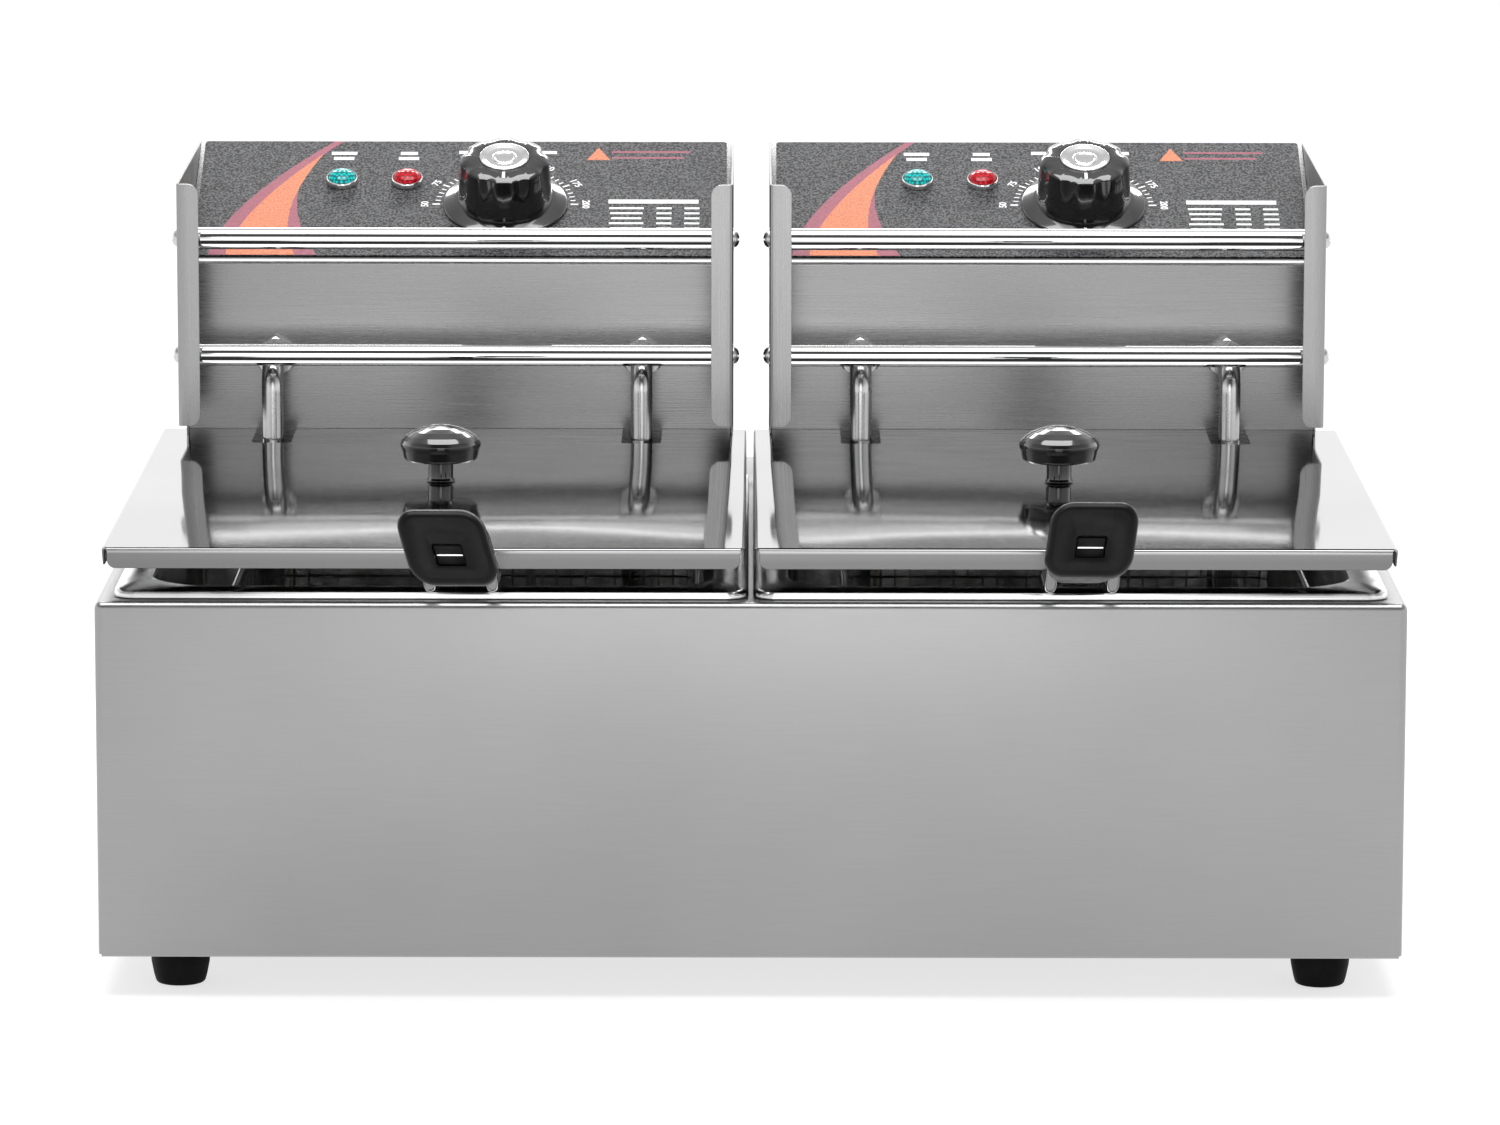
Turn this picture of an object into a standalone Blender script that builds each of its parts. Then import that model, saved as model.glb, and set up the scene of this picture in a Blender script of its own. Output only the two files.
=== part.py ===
"""Countertop electric deep fryer with two tanks and two lift-out control heads.

Metres, +Z up, the front faces -Y. The origin is on the table, under the middle of
the bounding box. Inside the fryer's own frame Y is counted back from the front of
the case; the empty "fryer" carries that frame to its place.
"""

import math

import bmesh
import bpy
from mathutils import Matrix, Vector

MM = 0.001
GAP = 0.3 * MM  # left between pieces that touch
SHEET = 1.0 * MM  # thickness of the folded steel sheet

# Overall reach, counted back from the front of the case
GRIP_FRONT = -150 * MM
GLAND_BACK = 448 * MM

# Case and feet
CASE_WIDTH = 550 * MM
CASE_DEPTH = 400 * MM
CASE_BOTTOM = 18 * MM
DECK_TOP = 169 * MM
CASE_BEND = 3 * MM
BASE_BOTTOM = 17 * MM
FOOT_X = 242.6 * MM
FOOT_INSET = 30 * MM

# Oil tanks
TANK_X = 134.4 * MM
TANK_WIDTH = 237 * MM
TANK_DEPTH = 294 * MM
TANK_MIDDLE_Y = 170 * MM
TANK_BOTTOM = 32 * MM
TANK_WALL = 1.0 * MM
RIM_TOP = 173 * MM
RIM_WIDTH = 13 * MM  # to the turned-down edge, which adds its own thickness
RIM_DROP = 2.6 * MM

# Lids
LID_WIDTH = 270 * MM
LID_FRONT = 2 * MM
LID_BACK = 333 * MM
LID_TOP = 192 * MM
LID_SKIRT = 9 * MM
NOTCH_WIDTH = 18 * MM
NOTCH_LENGTH = 43 * MM
LID_KNOB_Y = 180 * MM
LID_KNOB_HEIGHT = 26 * MM
LID_SCREW_R = 2.5 * MM
LID_SWING_Y = 364 * MM  # middle of the arc that a lid follows when it is taken off
LID_SWING_Z = 642 * MM

# Control heads
HEAD_X = 134.7 * MM
HEAD_WIDTH = 253 * MM
HEAD_BOTTOM = 169.5 * MM
FACE_Y = 334.5 * MM
PANEL_Z = 270 * MM
PANEL_TILT = math.radians(25)
PANEL_LENGTH = 105.6 * MM
HEAD_BACK = 432.4 * MM
CHEEK_FRONT = 287 * MM
CHEEK_LOW = 200 * MM
CHEEK_TOP = 311 * MM
EAR_WIDTH = 10 * MM
ROD_R = 5 * MM
ROD_Y = 297 * MM
ROD_HEIGHTS = {"upper": 285 * MM, "lower": 231.5 * MM}

# Heating elements, probes and fittings
TUBE_R = 5 * MM
LEG_X = 84.5 * MM
LEG_Y = 305 * MM
FITTING_Z = 226 * MM
ELEMENT_Z = 46 * MM
ELEMENT_FRONT = 75 * MM
ELEMENT_REAR = 250 * MM
NUT_ACROSS = 16.5 * MM
NUT_LENGTH = 6 * MM
PROBE_R = 1.2 * MM
PROBE_X = 76.5 * MM
PROBE_EXIT_Z = 182 * MM
PROBE_DROP_Y = 308.5 * MM
BULB_R = 3 * MM
BULB_LENGTH = 70 * MM
BULB_X = 56 * MM
GLAND_X = -60 * MM
GLAND_Z = 200 * MM
GLAND_R = 11.5 * MM
GLAND_NECK_R = 7.6 * MM
CORD_R = 4.2 * MM  # the bore that the cord would pass

# Controls inside the heads
THERMOSTAT_HALF = 17 * MM
THERMOSTAT_DEPTH = (-24 * MM, -4 * MM)  # below the panel's surface
SHAFT_REACH = 11 * MM
CUTOUT_AT = Vector((-40, 390, 262)) * MM
CUTOUT_R = 15 * MM
CUTOUT_HALF = 9 * MM
TERMINAL_X = (-95 * MM, -35 * MM)
TERMINAL_Y = (392 * MM, 412 * MM)
TERMINAL_HEIGHT = 18 * MM

# Control panel, in its own frame: X across, Y up the slope, Z out of it
LABEL_MARGIN = 2 * MM
LABEL_THICKNESS = 0.5 * MM
KNOB_AT = Vector((20, 48, 0)) * MM
LIGHTS = {"power": Vector((-57, 68, 0)) * MM, "heat": Vector((-26.5, 68, 0)) * MM}
LAMP_HOLE_R = 5.3 * MM
LAMP_R = 5 * MM
SHAFT_R = 3 * MM
SHAFT_HOLE_R = 4.5 * MM
SKIRT_R = 29 * MM
KNOB_BASE = 1.2 * MM
KNOB_SKIRT = 2.5 * MM
KNOB_HEIGHT = 23 * MM
CAP_R = 11.5 * MM

# Baskets and their handles
BASKET_WIDTH = 200 * MM
BASKET_FRONT = 33 * MM
BASKET_BACK = 258 * MM
BASKET_BOTTOM = 66 * MM
BASKET_TOP = 168 * MM
BASKET_WALL = 1.2 * MM
WIRE_R = 2.75 * MM
WIRE_SPACING = 26 * MM
WIRE_LOW = 90 * MM
WIRE_OVER_RIM = 176.6 * MM
HANDLE_PIVOT_Y = -32 * MM  # where the wires enter the grip
HANDLE_PIVOT_Z = 194 * MM
GRIP_WIDTH = 36 * MM
GRIP_HEIGHT = 31 * MM
GRIP_ROUND = 8 * MM
GRIP_OFFSET = 3 * MM  # the grip's middle above the wires

SIDES = {
    "left": {
        "sign": -1,
        "lid_x": -137 * MM,
        "basket_x": -121 * MM,
        "pitch": 10,
        "yaw": 0,
        "lean": -0.30,
    },
    "right": {
        "sign": 1,
        "lid_x": 136 * MM,
        "basket_x": 138 * MM,
        "pitch": 11.8,
        "yaw": -1.2,
        "lean": 0.14,
    },
}

STEEL = ((0.62, 0.62, 0.62), 1.0, 0.32)
POLISHED = ((0.75, 0.75, 0.75), 1.0, 0.12)
CHROME = ((0.85, 0.85, 0.85), 1.0, 0.06)
LABEL_GREY = ((0.10, 0.10, 0.105), 0.0, 0.45)
BLACK = ((0.012, 0.012, 0.013), 0.0, 0.25)
RUBBER = ((0.02, 0.02, 0.02), 0.0, 0.75)
GREEN = ((0.0, 0.35, 0.25), 0.0, 0.1)
RED = ((0.5, 0.01, 0.02), 0.0, 0.1)
ZINC = ((0.55, 0.56, 0.58), 1.0, 0.4)
CREAM = ((0.75, 0.72, 0.62), 0.0, 0.5)

for old in list(bpy.data.objects):
    bpy.data.objects.remove(old)
PARTS = bpy.data.collections.new("deep_fryer")
CUTTERS = bpy.data.collections.new("cutters")
bpy.context.scene.collection.children.link(PARTS)
bpy.context.scene.collection.children.link(CUTTERS)


# ---------------------------------------------------------------- helpers


def frame(name, parent, at, rotation=(0, 0, 0)):
    """An empty that carries the pieces of one assembly."""
    empty = bpy.data.objects.new(name, None)
    empty.parent = parent
    empty.location = at
    empty.rotation_euler = rotation
    PARTS.objects.link(empty)
    return empty


def piece(name, mesh, finish, parent, at=(0, 0, 0), rotation=(0, 0, 0)):
    """A named piece with its own material."""
    colour, metallic, roughness = finish
    material = bpy.data.materials.new(name)
    material.use_nodes = True
    shader = material.node_tree.nodes["Principled BSDF"]
    shader.inputs["Base Color"].default_value = (*colour, 1)
    shader.inputs["Metallic"].default_value = metallic
    shader.inputs["Roughness"].default_value = roughness
    mesh.materials.append(material)
    obj = bpy.data.objects.new(name, mesh)
    obj.parent = parent
    obj.location = at
    obj.rotation_euler = rotation
    PARTS.objects.link(obj)
    return obj


def cutter(name, mesh, parent, at=(0, 0, 0), rotation=(0, 0, 0)):
    obj = bpy.data.objects.new(name, mesh)
    obj.parent = parent
    obj.location = at
    obj.rotation_euler = rotation
    obj.hide_render = True
    obj.display_type = "WIRE"
    CUTTERS.objects.link(obj)
    return obj


def combine(target, other, operation="DIFFERENCE"):
    step = target.modifiers.new(operation.title(), "BOOLEAN")
    step.operation = operation
    step.solver = "EXACT"
    step.object = other


def mesh_of(bm, smooth_angle=40):
    mesh = bpy.data.meshes.new("shape")
    bm.to_mesh(mesh)
    bm.free()
    mesh.shade_smooth()
    mesh.set_sharp_from_angle(angle=math.radians(smooth_angle))
    return mesh


def box(low, high, bevel=0.0, segments=2):
    low, high = Vector(low), Vector(high)
    bm = bmesh.new()
    bmesh.ops.create_cube(bm, size=1)
    bmesh.ops.scale(bm, vec=high - low, verts=bm.verts)
    bmesh.ops.translate(bm, vec=(low + high) / 2, verts=bm.verts)
    if bevel:
        bmesh.ops.bevel(
            bm, geom=bm.edges[:], offset=bevel, segments=segments, profile=0.5, affect="EDGES"
        )
    return mesh_of(bm)


def cylinder(radius, low, high, sides=16):
    """A cylinder along Z from low to high."""
    bm = bmesh.new()
    middle = Matrix.Translation((0, 0, (low + high) / 2))
    bmesh.ops.create_cone(
        bm, cap_ends=True, segments=sides, radius1=radius, radius2=radius, depth=high - low, matrix=middle
    )
    return mesh_of(bm)


def turned(obj_data_name, profile, closed=False):
    """The profile (radius, height) of a turned piece, top to bottom down its outer side."""
    bm = bmesh.new()
    points = [bm.verts.new((r, 0, z)) for r, z in profile]
    for a, b in zip(points, points[1:]):
        bm.edges.new((a, b))
    if closed:
        bm.edges.new((points[-1], points[0]))
    mesh = bpy.data.meshes.new(obj_data_name)
    bm.to_mesh(mesh)
    bm.free()
    return mesh


def spin(obj, steps=16):
    screw = obj.modifiers.new("Spin", "SCREW")
    screw.steps = steps
    screw.render_steps = steps
    screw.use_merge_vertices = True
    screw.merge_threshold = 0.00001
    return obj


def solidify(obj, thickness, offset=-1):
    shell = obj.modifiers.new("Thickness", "SOLIDIFY")
    shell.thickness = thickness
    shell.offset = offset
    shell.use_even_offset = True


def rounded_path(points, radius, steps=4):
    """The path with each inner corner replaced by an arc of the radius."""
    points = [Vector(p) for p in points]
    path = [points[0]]
    for before, corner, after in zip(points, points[1:], points[2:]):
        back = (before - corner).normalized()
        ahead = (after - corner).normalized()
        half = back.angle(ahead) / 2
        reach = radius / math.tan(half)
        middle = corner + (back + ahead).normalized() * (radius / math.sin(half))
        start = corner + back * reach - middle
        turn = math.pi - 2 * half
        axis = start.cross(corner + ahead * reach - middle).normalized()
        path += [middle + Matrix.Rotation(turn * i / steps, 3, axis) @ start for i in range(steps + 1)]
    path.append(points[-1])
    return path


def curve_mesh(curve):
    """The curve as a closed mesh, with the caps joined to the sides."""
    holder = bpy.data.objects.new("holder", curve)
    bpy.context.scene.collection.objects.link(holder)
    graph = bpy.context.evaluated_depsgraph_get()
    mesh = bpy.data.meshes.new_from_object(holder.evaluated_get(graph))
    bpy.data.objects.remove(holder)
    bm = bmesh.new()
    bm.from_mesh(mesh)
    bmesh.ops.remove_doubles(bm, verts=bm.verts, dist=0.000001)
    return mesh_of(bm)


def wire(points, radius):
    """A round wire or tube along the points."""
    curve = bpy.data.curves.new("wire", "CURVE")
    curve.dimensions = "3D"
    curve.bevel_depth = radius
    curve.bevel_resolution = 2
    curve.use_fill_caps = True
    spline = curve.splines.new("POLY")
    spline.points.add(len(points) - 1)
    for spot, point in zip(spline.points, points):
        spot.co = (*point, 1)
    return curve_mesh(curve)


def plate(outline, thickness):
    """A flat plate in its own XY plane, half its thickness on each side."""
    curve = bpy.data.curves.new("plate", "CURVE")
    curve.dimensions = "2D"
    curve.fill_mode = "BOTH"
    curve.extrude = thickness / 2
    spline = curve.splines.new("POLY")
    spline.points.add(len(outline) - 1)
    spline.use_cyclic_u = True
    for spot, point in zip(spline.points, outline):
        spot.co = (point[0], point[1], 0, 1)
    return curve_mesh(curve)


def folded(path, width, outward):
    """A sheet folded along the (y, z) path and as wide as it says along X, facing outward."""
    bm = bmesh.new()
    verts = [bm.verts.new((-width / 2, p[1], p[2])) for p in path]
    edges = [bm.edges.new(pair) for pair in zip(verts, verts[1:])]
    grown = bmesh.ops.extrude_edge_only(bm, edges=edges)["geom"]
    far = [v for v in grown if isinstance(v, bmesh.types.BMVert)]
    bmesh.ops.translate(bm, vec=(width, 0, 0), verts=far)
    bm.normal_update()
    if sum(f.normal.dot(Vector(outward)) for f in bm.faces) < 0:
        bmesh.ops.reverse_faces(bm, faces=bm.faces[:])
    return mesh_of(bm, 60)


def open_tray(width, depth, low, high, corner, foot, rim=0.0, drop=0.0):
    """A tray's outer surface, open at the top, with a flat rim turned down at its edge."""
    bm = bmesh.new()
    bmesh.ops.create_cube(bm, size=1)
    bmesh.ops.scale(bm, vec=(width, depth, high - low), verts=bm.verts)
    bmesh.ops.translate(bm, vec=(0, 0, (low + high) / 2), verts=bm.verts)
    lid = [f for f in bm.faces if f.normal.z > 0.9]
    bmesh.ops.delete(bm, geom=lid, context="FACES_ONLY")
    upright = [e for e in bm.edges if abs(e.verts[0].co.z - e.verts[1].co.z) > (high - low) / 2]
    bmesh.ops.bevel(bm, geom=upright, offset=corner, segments=4, profile=0.5, affect="EDGES")
    floor = [e for e in bm.edges if all(abs(v.co.z - low) < 1e-6 for v in e.verts)]
    bmesh.ops.bevel(bm, geom=floor, offset=foot, segments=2, profile=0.5, affect="EDGES")
    if rim:
        edges = [e for e in bm.edges if e.is_boundary]
        grow = Vector((1 + 2 * rim / width, 1 + 2 * rim / depth, 1))
        edges = extruded(bm, edges, lambda co: Vector((co.x * grow.x, co.y * grow.y, co.z)))
        extruded(bm, edges, lambda co: co - Vector((0, 0, drop)))
    return mesh_of(bm, 50)


def extruded(bm, edges, moved):
    """Extrudes the edges and moves the new corners; returns the new edges."""
    grown = bmesh.ops.extrude_edge_only(bm, edges=edges)["geom"]
    for vert in grown:
        if isinstance(vert, bmesh.types.BMVert):
            vert.co = moved(vert.co)
    return [e for e in grown if isinstance(e, bmesh.types.BMEdge)]


# ---------------------------------------------------------------- case


def case_shell(fryer):
    """The folded outer case: four walls and the deck, with a cut-out for each tank."""
    bm = bmesh.new()
    height = DECK_TOP - CASE_BOTTOM
    bmesh.ops.create_cube(bm, size=1)
    bmesh.ops.scale(bm, vec=(CASE_WIDTH, CASE_DEPTH, height), verts=bm.verts)
    bmesh.ops.translate(bm, vec=(0, CASE_DEPTH / 2, CASE_BOTTOM + height / 2), verts=bm.verts)
    bmesh.ops.delete(bm, geom=[f for f in bm.faces if f.normal.z < -0.9], context="FACES_ONLY")
    rims = [e for e in bm.edges if all(v.co.z > DECK_TOP - 1e-6 for v in e.verts)]
    bmesh.ops.bevel(bm, geom=rims, offset=CASE_BEND, segments=3, profile=0.5, affect="EDGES")
    shell = piece("case_shell", mesh_of(bm), STEEL, fryer)
    solidify(shell, SHEET)
    margin = 2 * MM
    half = Vector((TANK_WIDTH / 2 + margin, TANK_DEPTH / 2 + margin))
    for side, about in SIDES.items():
        opening = box((-half.x, -half.y, -10 * MM), (half.x, half.y, 10 * MM))
        at = (about["sign"] * TANK_X, TANK_MIDDLE_Y, DECK_TOP)
        combine(shell, cutter(f"{side}_deck_opening", opening, fryer, at))


def base_plate(fryer):
    inside = SHEET + GAP
    low = (-CASE_WIDTH / 2 + inside, inside, BASE_BOTTOM)
    high = (CASE_WIDTH / 2 - inside, CASE_DEPTH - inside, BASE_BOTTOM + SHEET)
    piece("base_plate", box(low, high), STEEL, fryer)


def feet(fryer):
    top = BASE_BOTTOM - GAP
    profile = [
        (0, top),
        (13.2 * MM, top),
        (13.0 * MM, 10 * MM),
        (12.0 * MM, 4 * MM),
        (10.5 * MM, 0.8 * MM),
        (9.6 * MM, 0),
        (0, 0),
    ]
    for row, y in (("front", FOOT_INSET), ("rear", CASE_DEPTH - FOOT_INSET)):
        for side, about in SIDES.items():
            at = (about["sign"] * FOOT_X, y, 0)
            spin(piece(f"foot_{row}_{side}", turned("foot", profile), RUBBER, fryer, at))


# ---------------------------------------------------------------- control head


def head_front_panel(side, head, panel):
    """The head's face and sloping top, one sheet folded once."""
    up = Vector((0, math.cos(PANEL_TILT), math.sin(PANEL_TILT))) * PANEL_LENGTH
    bend = Vector((0, FACE_Y, PANEL_Z))
    path = rounded_path([(0, FACE_Y, HEAD_BOTTOM), bend, bend + up], 3 * MM, 3)
    width = HEAD_WIDTH - 2 * (SHEET + GAP)
    sheet = piece(f"{side}_head_front_panel", folded(path, width, (0, -1, 0)), STEEL, head)
    solidify(sheet, SHEET)
    through = (-8 * MM, 8 * MM)
    for name, spot in LIGHTS.items():
        combine(sheet, cutter(f"{side}_{name}_hole", cylinder(LAMP_HOLE_R, *through), panel, spot))
    combine(sheet, cutter(f"{side}_shaft_hole", cylinder(SHAFT_HOLE_R, *through), panel, KNOB_AT))
    holes = [(x, FITTING_Z, TUBE_R + GAP) for x in (-LEG_X, LEG_X)]
    holes += [(x, PROBE_EXIT_Z, PROBE_R + 1 * MM) for x in (-PROBE_X, PROBE_X)]
    for number, (x, z, radius) in enumerate(holes):
        hole = cylinder(radius, *through, sides=16)
        turn = (math.pi / 2, 0, 0)
        combine(sheet, cutter(f"{side}_face_hole_{number}", hole, head, (x, FACE_Y, z), turn))


def head_sides(side, head):
    """The two cheeks that carry the hanging rods, each with an ear turned in at its front."""
    corner = 6 * MM
    outline = [
        (CHEEK_FRONT, CHEEK_TOP),
        (HEAD_BACK - 1 * MM, CHEEK_TOP + 3 * MM),
        (HEAD_BACK, CHEEK_TOP + 2 * MM),
        (HEAD_BACK, HEAD_BOTTOM),
        (FACE_Y, HEAD_BOTTOM),
        (FACE_Y, CHEEK_LOW - corner),
        (FACE_Y - corner, CHEEK_LOW),
        (CHEEK_FRONT, CHEEK_LOW),
    ]
    upright = (math.pi / 2, 0, math.pi / 2)  # the outline's X becomes Y, and its Y becomes Z
    middle_z = (CHEEK_LOW + CHEEK_TOP) / 2
    half = (CHEEK_TOP - CHEEK_LOW) / 2 - 0.5 * MM
    for hand, sign in (("left", -1), ("right", 1)):
        x = sign * (HEAD_WIDTH - SHEET) / 2
        sheet = plate(outline, SHEET)
        cheek = piece(f"{side}_head_{hand}_side", sheet, STEEL, head, (x, 0, 0), upright)
        inner = -sign * (EAR_WIDTH - SHEET / 2)
        round_in = 4 * MM * sign
        ear = [
            (0, -half),
            (0, half),
            (inner + round_in, half),
            (inner, half - abs(round_in)),
            (inner, -half + abs(round_in)),
            (inner + round_in, -half),
        ]
        flat = cutter(
            f"{side}_{hand}_ear",
            plate(ear, SHEET),
            head,
            (x, CHEEK_FRONT + SHEET / 2 + 0.15 * MM, middle_z),
            (math.pi / 2, 0, 0),
        )
        combine(cheek, flat, "UNION")


def head_rear_cover(side, head):
    """The back and floor of the head, one folded sheet with the hole for the cable gland."""
    path = [
        (0, FACE_Y + SHEET + 2 * GAP, HEAD_BOTTOM),
        (0, HEAD_BACK, HEAD_BOTTOM),
        (0, HEAD_BACK, CHEEK_TOP + 1 * MM),
    ]
    width = HEAD_WIDTH - 2 * (SHEET + GAP)
    cover = piece(f"{side}_head_rear_cover", folded(path, width, (0, 1, -1)), STEEL, head)
    solidify(cover, SHEET)
    hole = cylinder(GLAND_NECK_R + 0.4 * MM, -6 * MM, 6 * MM)
    at = (GLAND_X, HEAD_BACK, GLAND_Z)
    combine(cover, cutter(f"{side}_gland_hole", hole, head, at, (math.pi / 2, 0, 0)))


def control_label(side, panel):
    """The printed label that covers the slope."""
    half = HEAD_WIDTH / 2 - SHEET - GAP - LABEL_MARGIN
    low = (-half, LABEL_MARGIN + 2 * MM, GAP)
    high = (half, PANEL_LENGTH - LABEL_MARGIN, GAP + LABEL_THICKNESS)
    label = piece(f"{side}_control_label", box(low, high), LABEL_GREY, panel)
    through = (-3 * MM, 3 * MM)
    for name, spot in LIGHTS.items():
        combine(label, cutter(f"{side}_{name}_label_hole", cylinder(LAMP_HOLE_R, *through), panel, spot))
    combine(label, cutter(f"{side}_shaft_label_hole", cylinder(SHAFT_HOLE_R, *through), panel, KNOB_AT))


def hanging_rods(side, head):
    """Two polished rods between the cheeks, which drained baskets hang on."""
    half = HEAD_WIDTH / 2 - SHEET - GAP
    for name, z in ROD_HEIGHTS.items():
        rod = cylinder(ROD_R, -half, half)
        at = (0, ROD_Y, z)
        piece(f"{side}_hanging_rod_{name}", rod, POLISHED, head, at, (0, math.pi / 2, 0))


def thermostat_knob(side, panel):
    """The temperature knob, turned about the panel's normal, and the cap pressed in its top."""
    base = KNOB_BASE
    top = base + KNOB_SKIRT + KNOB_HEIGHT
    bore = SHAFT_R + GAP
    seat = top - 3 * MM
    profile = [
        (0, seat),
        (CAP_R + GAP, seat),
        (CAP_R + GAP, top),
        (18.8 * MM, top),
        (20.3 * MM, top - 1.5 * MM),
        (22.2 * MM, base + KNOB_SKIRT + 1 * MM),
        (26.5 * MM, base + KNOB_SKIRT),
        (SKIRT_R, base + 1.0 * MM),
        (SKIRT_R, base),
        (bore, base),
        (bore, base + 12 * MM),
        (0, base + 12 * MM),
    ]
    spin(piece(f"{side}_thermostat_knob", turned("knob", profile), BLACK, panel, KNOB_AT), 24)
    cap = [
        (0, top - 0.8 * MM),
        (CAP_R - 1.5 * MM, top - 0.8 * MM),
        (CAP_R - 0.8 * MM, top),
        (CAP_R, top),
        (CAP_R, seat + GAP),
        (0, seat + GAP),
    ]
    spin(piece(f"{side}_knob_cap", turned("cap", cap), CHROME, panel, KNOB_AT), 20)


def indicator_lights(side, panel):
    """A domed lens in a chrome bezel for each light."""
    surface = GAP + LABEL_THICKNESS + GAP
    bezel = [
        (6.6 * MM, surface + 3.2 * MM),
        (7.3 * MM, surface + 2.6 * MM),
        (7.5 * MM, surface + 1.6 * MM),
        (7.5 * MM, surface),
        (5.6 * MM, surface),
        (5.6 * MM, surface + 1.4 * MM),
        (6.2 * MM, surface + 1.4 * MM),
        (6.2 * MM, surface + 3.2 * MM),
    ]
    lens = [
        (0, surface + 5.2 * MM),
        (2.6 * MM, surface + 4.8 * MM),
        (4.6 * MM, surface + 3.7 * MM),
        (5.9 * MM, surface + 1.8 * MM),
        (LAMP_R, surface + 1.0 * MM),
        (LAMP_R, -12 * MM),
        (0, -12 * MM),
    ]
    for name, spot in LIGHTS.items():
        colour = GREEN if name == "power" else RED
        spin(piece(f"{side}_{name}_light_bezel", turned("bezel", bezel, True), CHROME, panel, spot))
        spin(piece(f"{side}_{name}_light_lens", turned("lens", lens), colour, panel, spot))


def probe_path(sign, start):
    """A capillary from a control inside the head, over the tank's rim and down to its bulb."""
    x = sign * PROBE_X
    bulb_x = sign * BULB_X
    corners = [
        start,
        (x, 358 * MM, 205 * MM),
        (x, 348 * MM, PROBE_EXIT_Z),
        (x, PROBE_DROP_Y, PROBE_EXIT_Z),
        (x, PROBE_DROP_Y, ELEMENT_Z + 6 * MM),
        (bulb_x, ELEMENT_REAR + 24 * MM, ELEMENT_Z),
        (bulb_x, ELEMENT_REAR + 4 * MM, ELEMENT_Z),
    ]
    return rounded_path(corners, 5 * MM, 3)


def controls_inside(side, head, panel):
    """The thermostat under the knob and the high-limit cut-out, each with its probe."""
    low, high = THERMOSTAT_DEPTH
    half = THERMOSTAT_HALF
    body = box((-half, -half, low), (half, half, high))
    thermostat = piece(f"{side}_thermostat", body, ZINC, panel, KNOB_AT)
    shaft = cylinder(SHAFT_R, high - 2 * MM, SHAFT_REACH, 16)
    combine(thermostat, cutter(f"{side}_shaft", shaft, panel, KNOB_AT), "UNION")
    up = Vector((0, math.cos(PANEL_TILT), math.sin(PANEL_TILT)))
    out = Vector((0, -math.sin(PANEL_TILT), math.cos(PANEL_TILT)))
    bend = Vector((KNOB_AT.x + 10 * MM, FACE_Y, PANEL_Z))
    start = bend + up * KNOB_AT.y + out * (low + 6 * MM)
    add_probe(side, "thermostat", thermostat, head, 1, start)
    can = cylinder(CUTOUT_R, -CUTOUT_HALF, CUTOUT_HALF)
    cutout = piece(f"{side}_high_limit_cutout", can, CREAM, head, CUTOUT_AT)
    add_probe(side, "cutout", cutout, head, -1, CUTOUT_AT)


def add_probe(side, name, body, head, sign, start):
    capillary = cutter(f"{side}_{name}_capillary", wire(probe_path(sign, start), PROBE_R), head)
    bulb = cylinder(BULB_R, 0, BULB_LENGTH, 12)
    at = (sign * BULB_X, ELEMENT_REAR + 8 * MM, ELEMENT_Z)
    combine(body, capillary, "UNION")
    combine(body, cutter(f"{side}_{name}_bulb", bulb, head, at, (math.pi / 2, 0, 0)), "UNION")


def heating_element(side, head):
    """One tube from fitting to fitting: down both sides of the tank and back and forth below."""
    step = LEG_X * 2 / 3
    inside_y = FACE_Y + 18 * MM
    front = ELEMENT_FRONT - step / 2
    rear = ELEMENT_REAR + step / 2
    leg_in = step / 2 - 0.01 * MM  # round turns, half a step in radius
    corners = [
        (-LEG_X, LEG_Y, ELEMENT_Z),
        (-LEG_X, front, ELEMENT_Z),
        (-LEG_X + step, front, ELEMENT_Z),
        (-LEG_X + step, rear, ELEMENT_Z),
        (LEG_X - step, rear, ELEMENT_Z),
        (LEG_X - step, front, ELEMENT_Z),
        (LEG_X, front, ELEMENT_Z),
        (LEG_X, LEG_Y, ELEMENT_Z),
    ]
    loops = rounded_path(corners, leg_in, 4)[1:-1]
    down = rounded_path(
        [(-LEG_X, inside_y, FITTING_Z), (-LEG_X, LEG_Y, FITTING_Z), (-LEG_X, LEG_Y, ELEMENT_Z), loops[0]],
        14 * MM,
        3,
    )
    up = [Vector((-p.x, p.y, p.z)) for p in reversed(down)]
    tube = wire(down[:-1] + loops + up[1:], TUBE_R)
    piece(f"{side}_heating_element", tube, POLISHED, head)


def element_nuts(side, head):
    """The hexagon nuts that clamp the element's ends in the face."""
    radius = NUT_ACROSS / math.sqrt(3)
    for hand, sign in (("left", -1), ("right", 1)):
        at = (sign * LEG_X, FACE_Y - GAP, FITTING_Z)
        turn = (math.pi / 2, 0, 0)
        blank = cylinder(radius, 0, NUT_LENGTH, 6)
        nut = piece(f"{side}_element_nut_{hand}", blank, POLISHED, head, at, turn)
        hole = cylinder(TUBE_R + GAP, -2 * MM, NUT_LENGTH + 2 * MM, 16)
        combine(nut, cutter(f"{side}_{hand}_nut_bore", hole, head, at, turn))


def terminal_block(side, head):
    """The block on the head's floor where the mains wires end."""
    floor = HEAD_BOTTOM + SHEET + GAP
    low = (TERMINAL_X[0], TERMINAL_Y[0], floor)
    high = (TERMINAL_X[1], TERMINAL_Y[1], floor + TERMINAL_HEIGHT)
    piece(f"{side}_terminal_block", box(low, high), CREAM, head)


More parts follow.
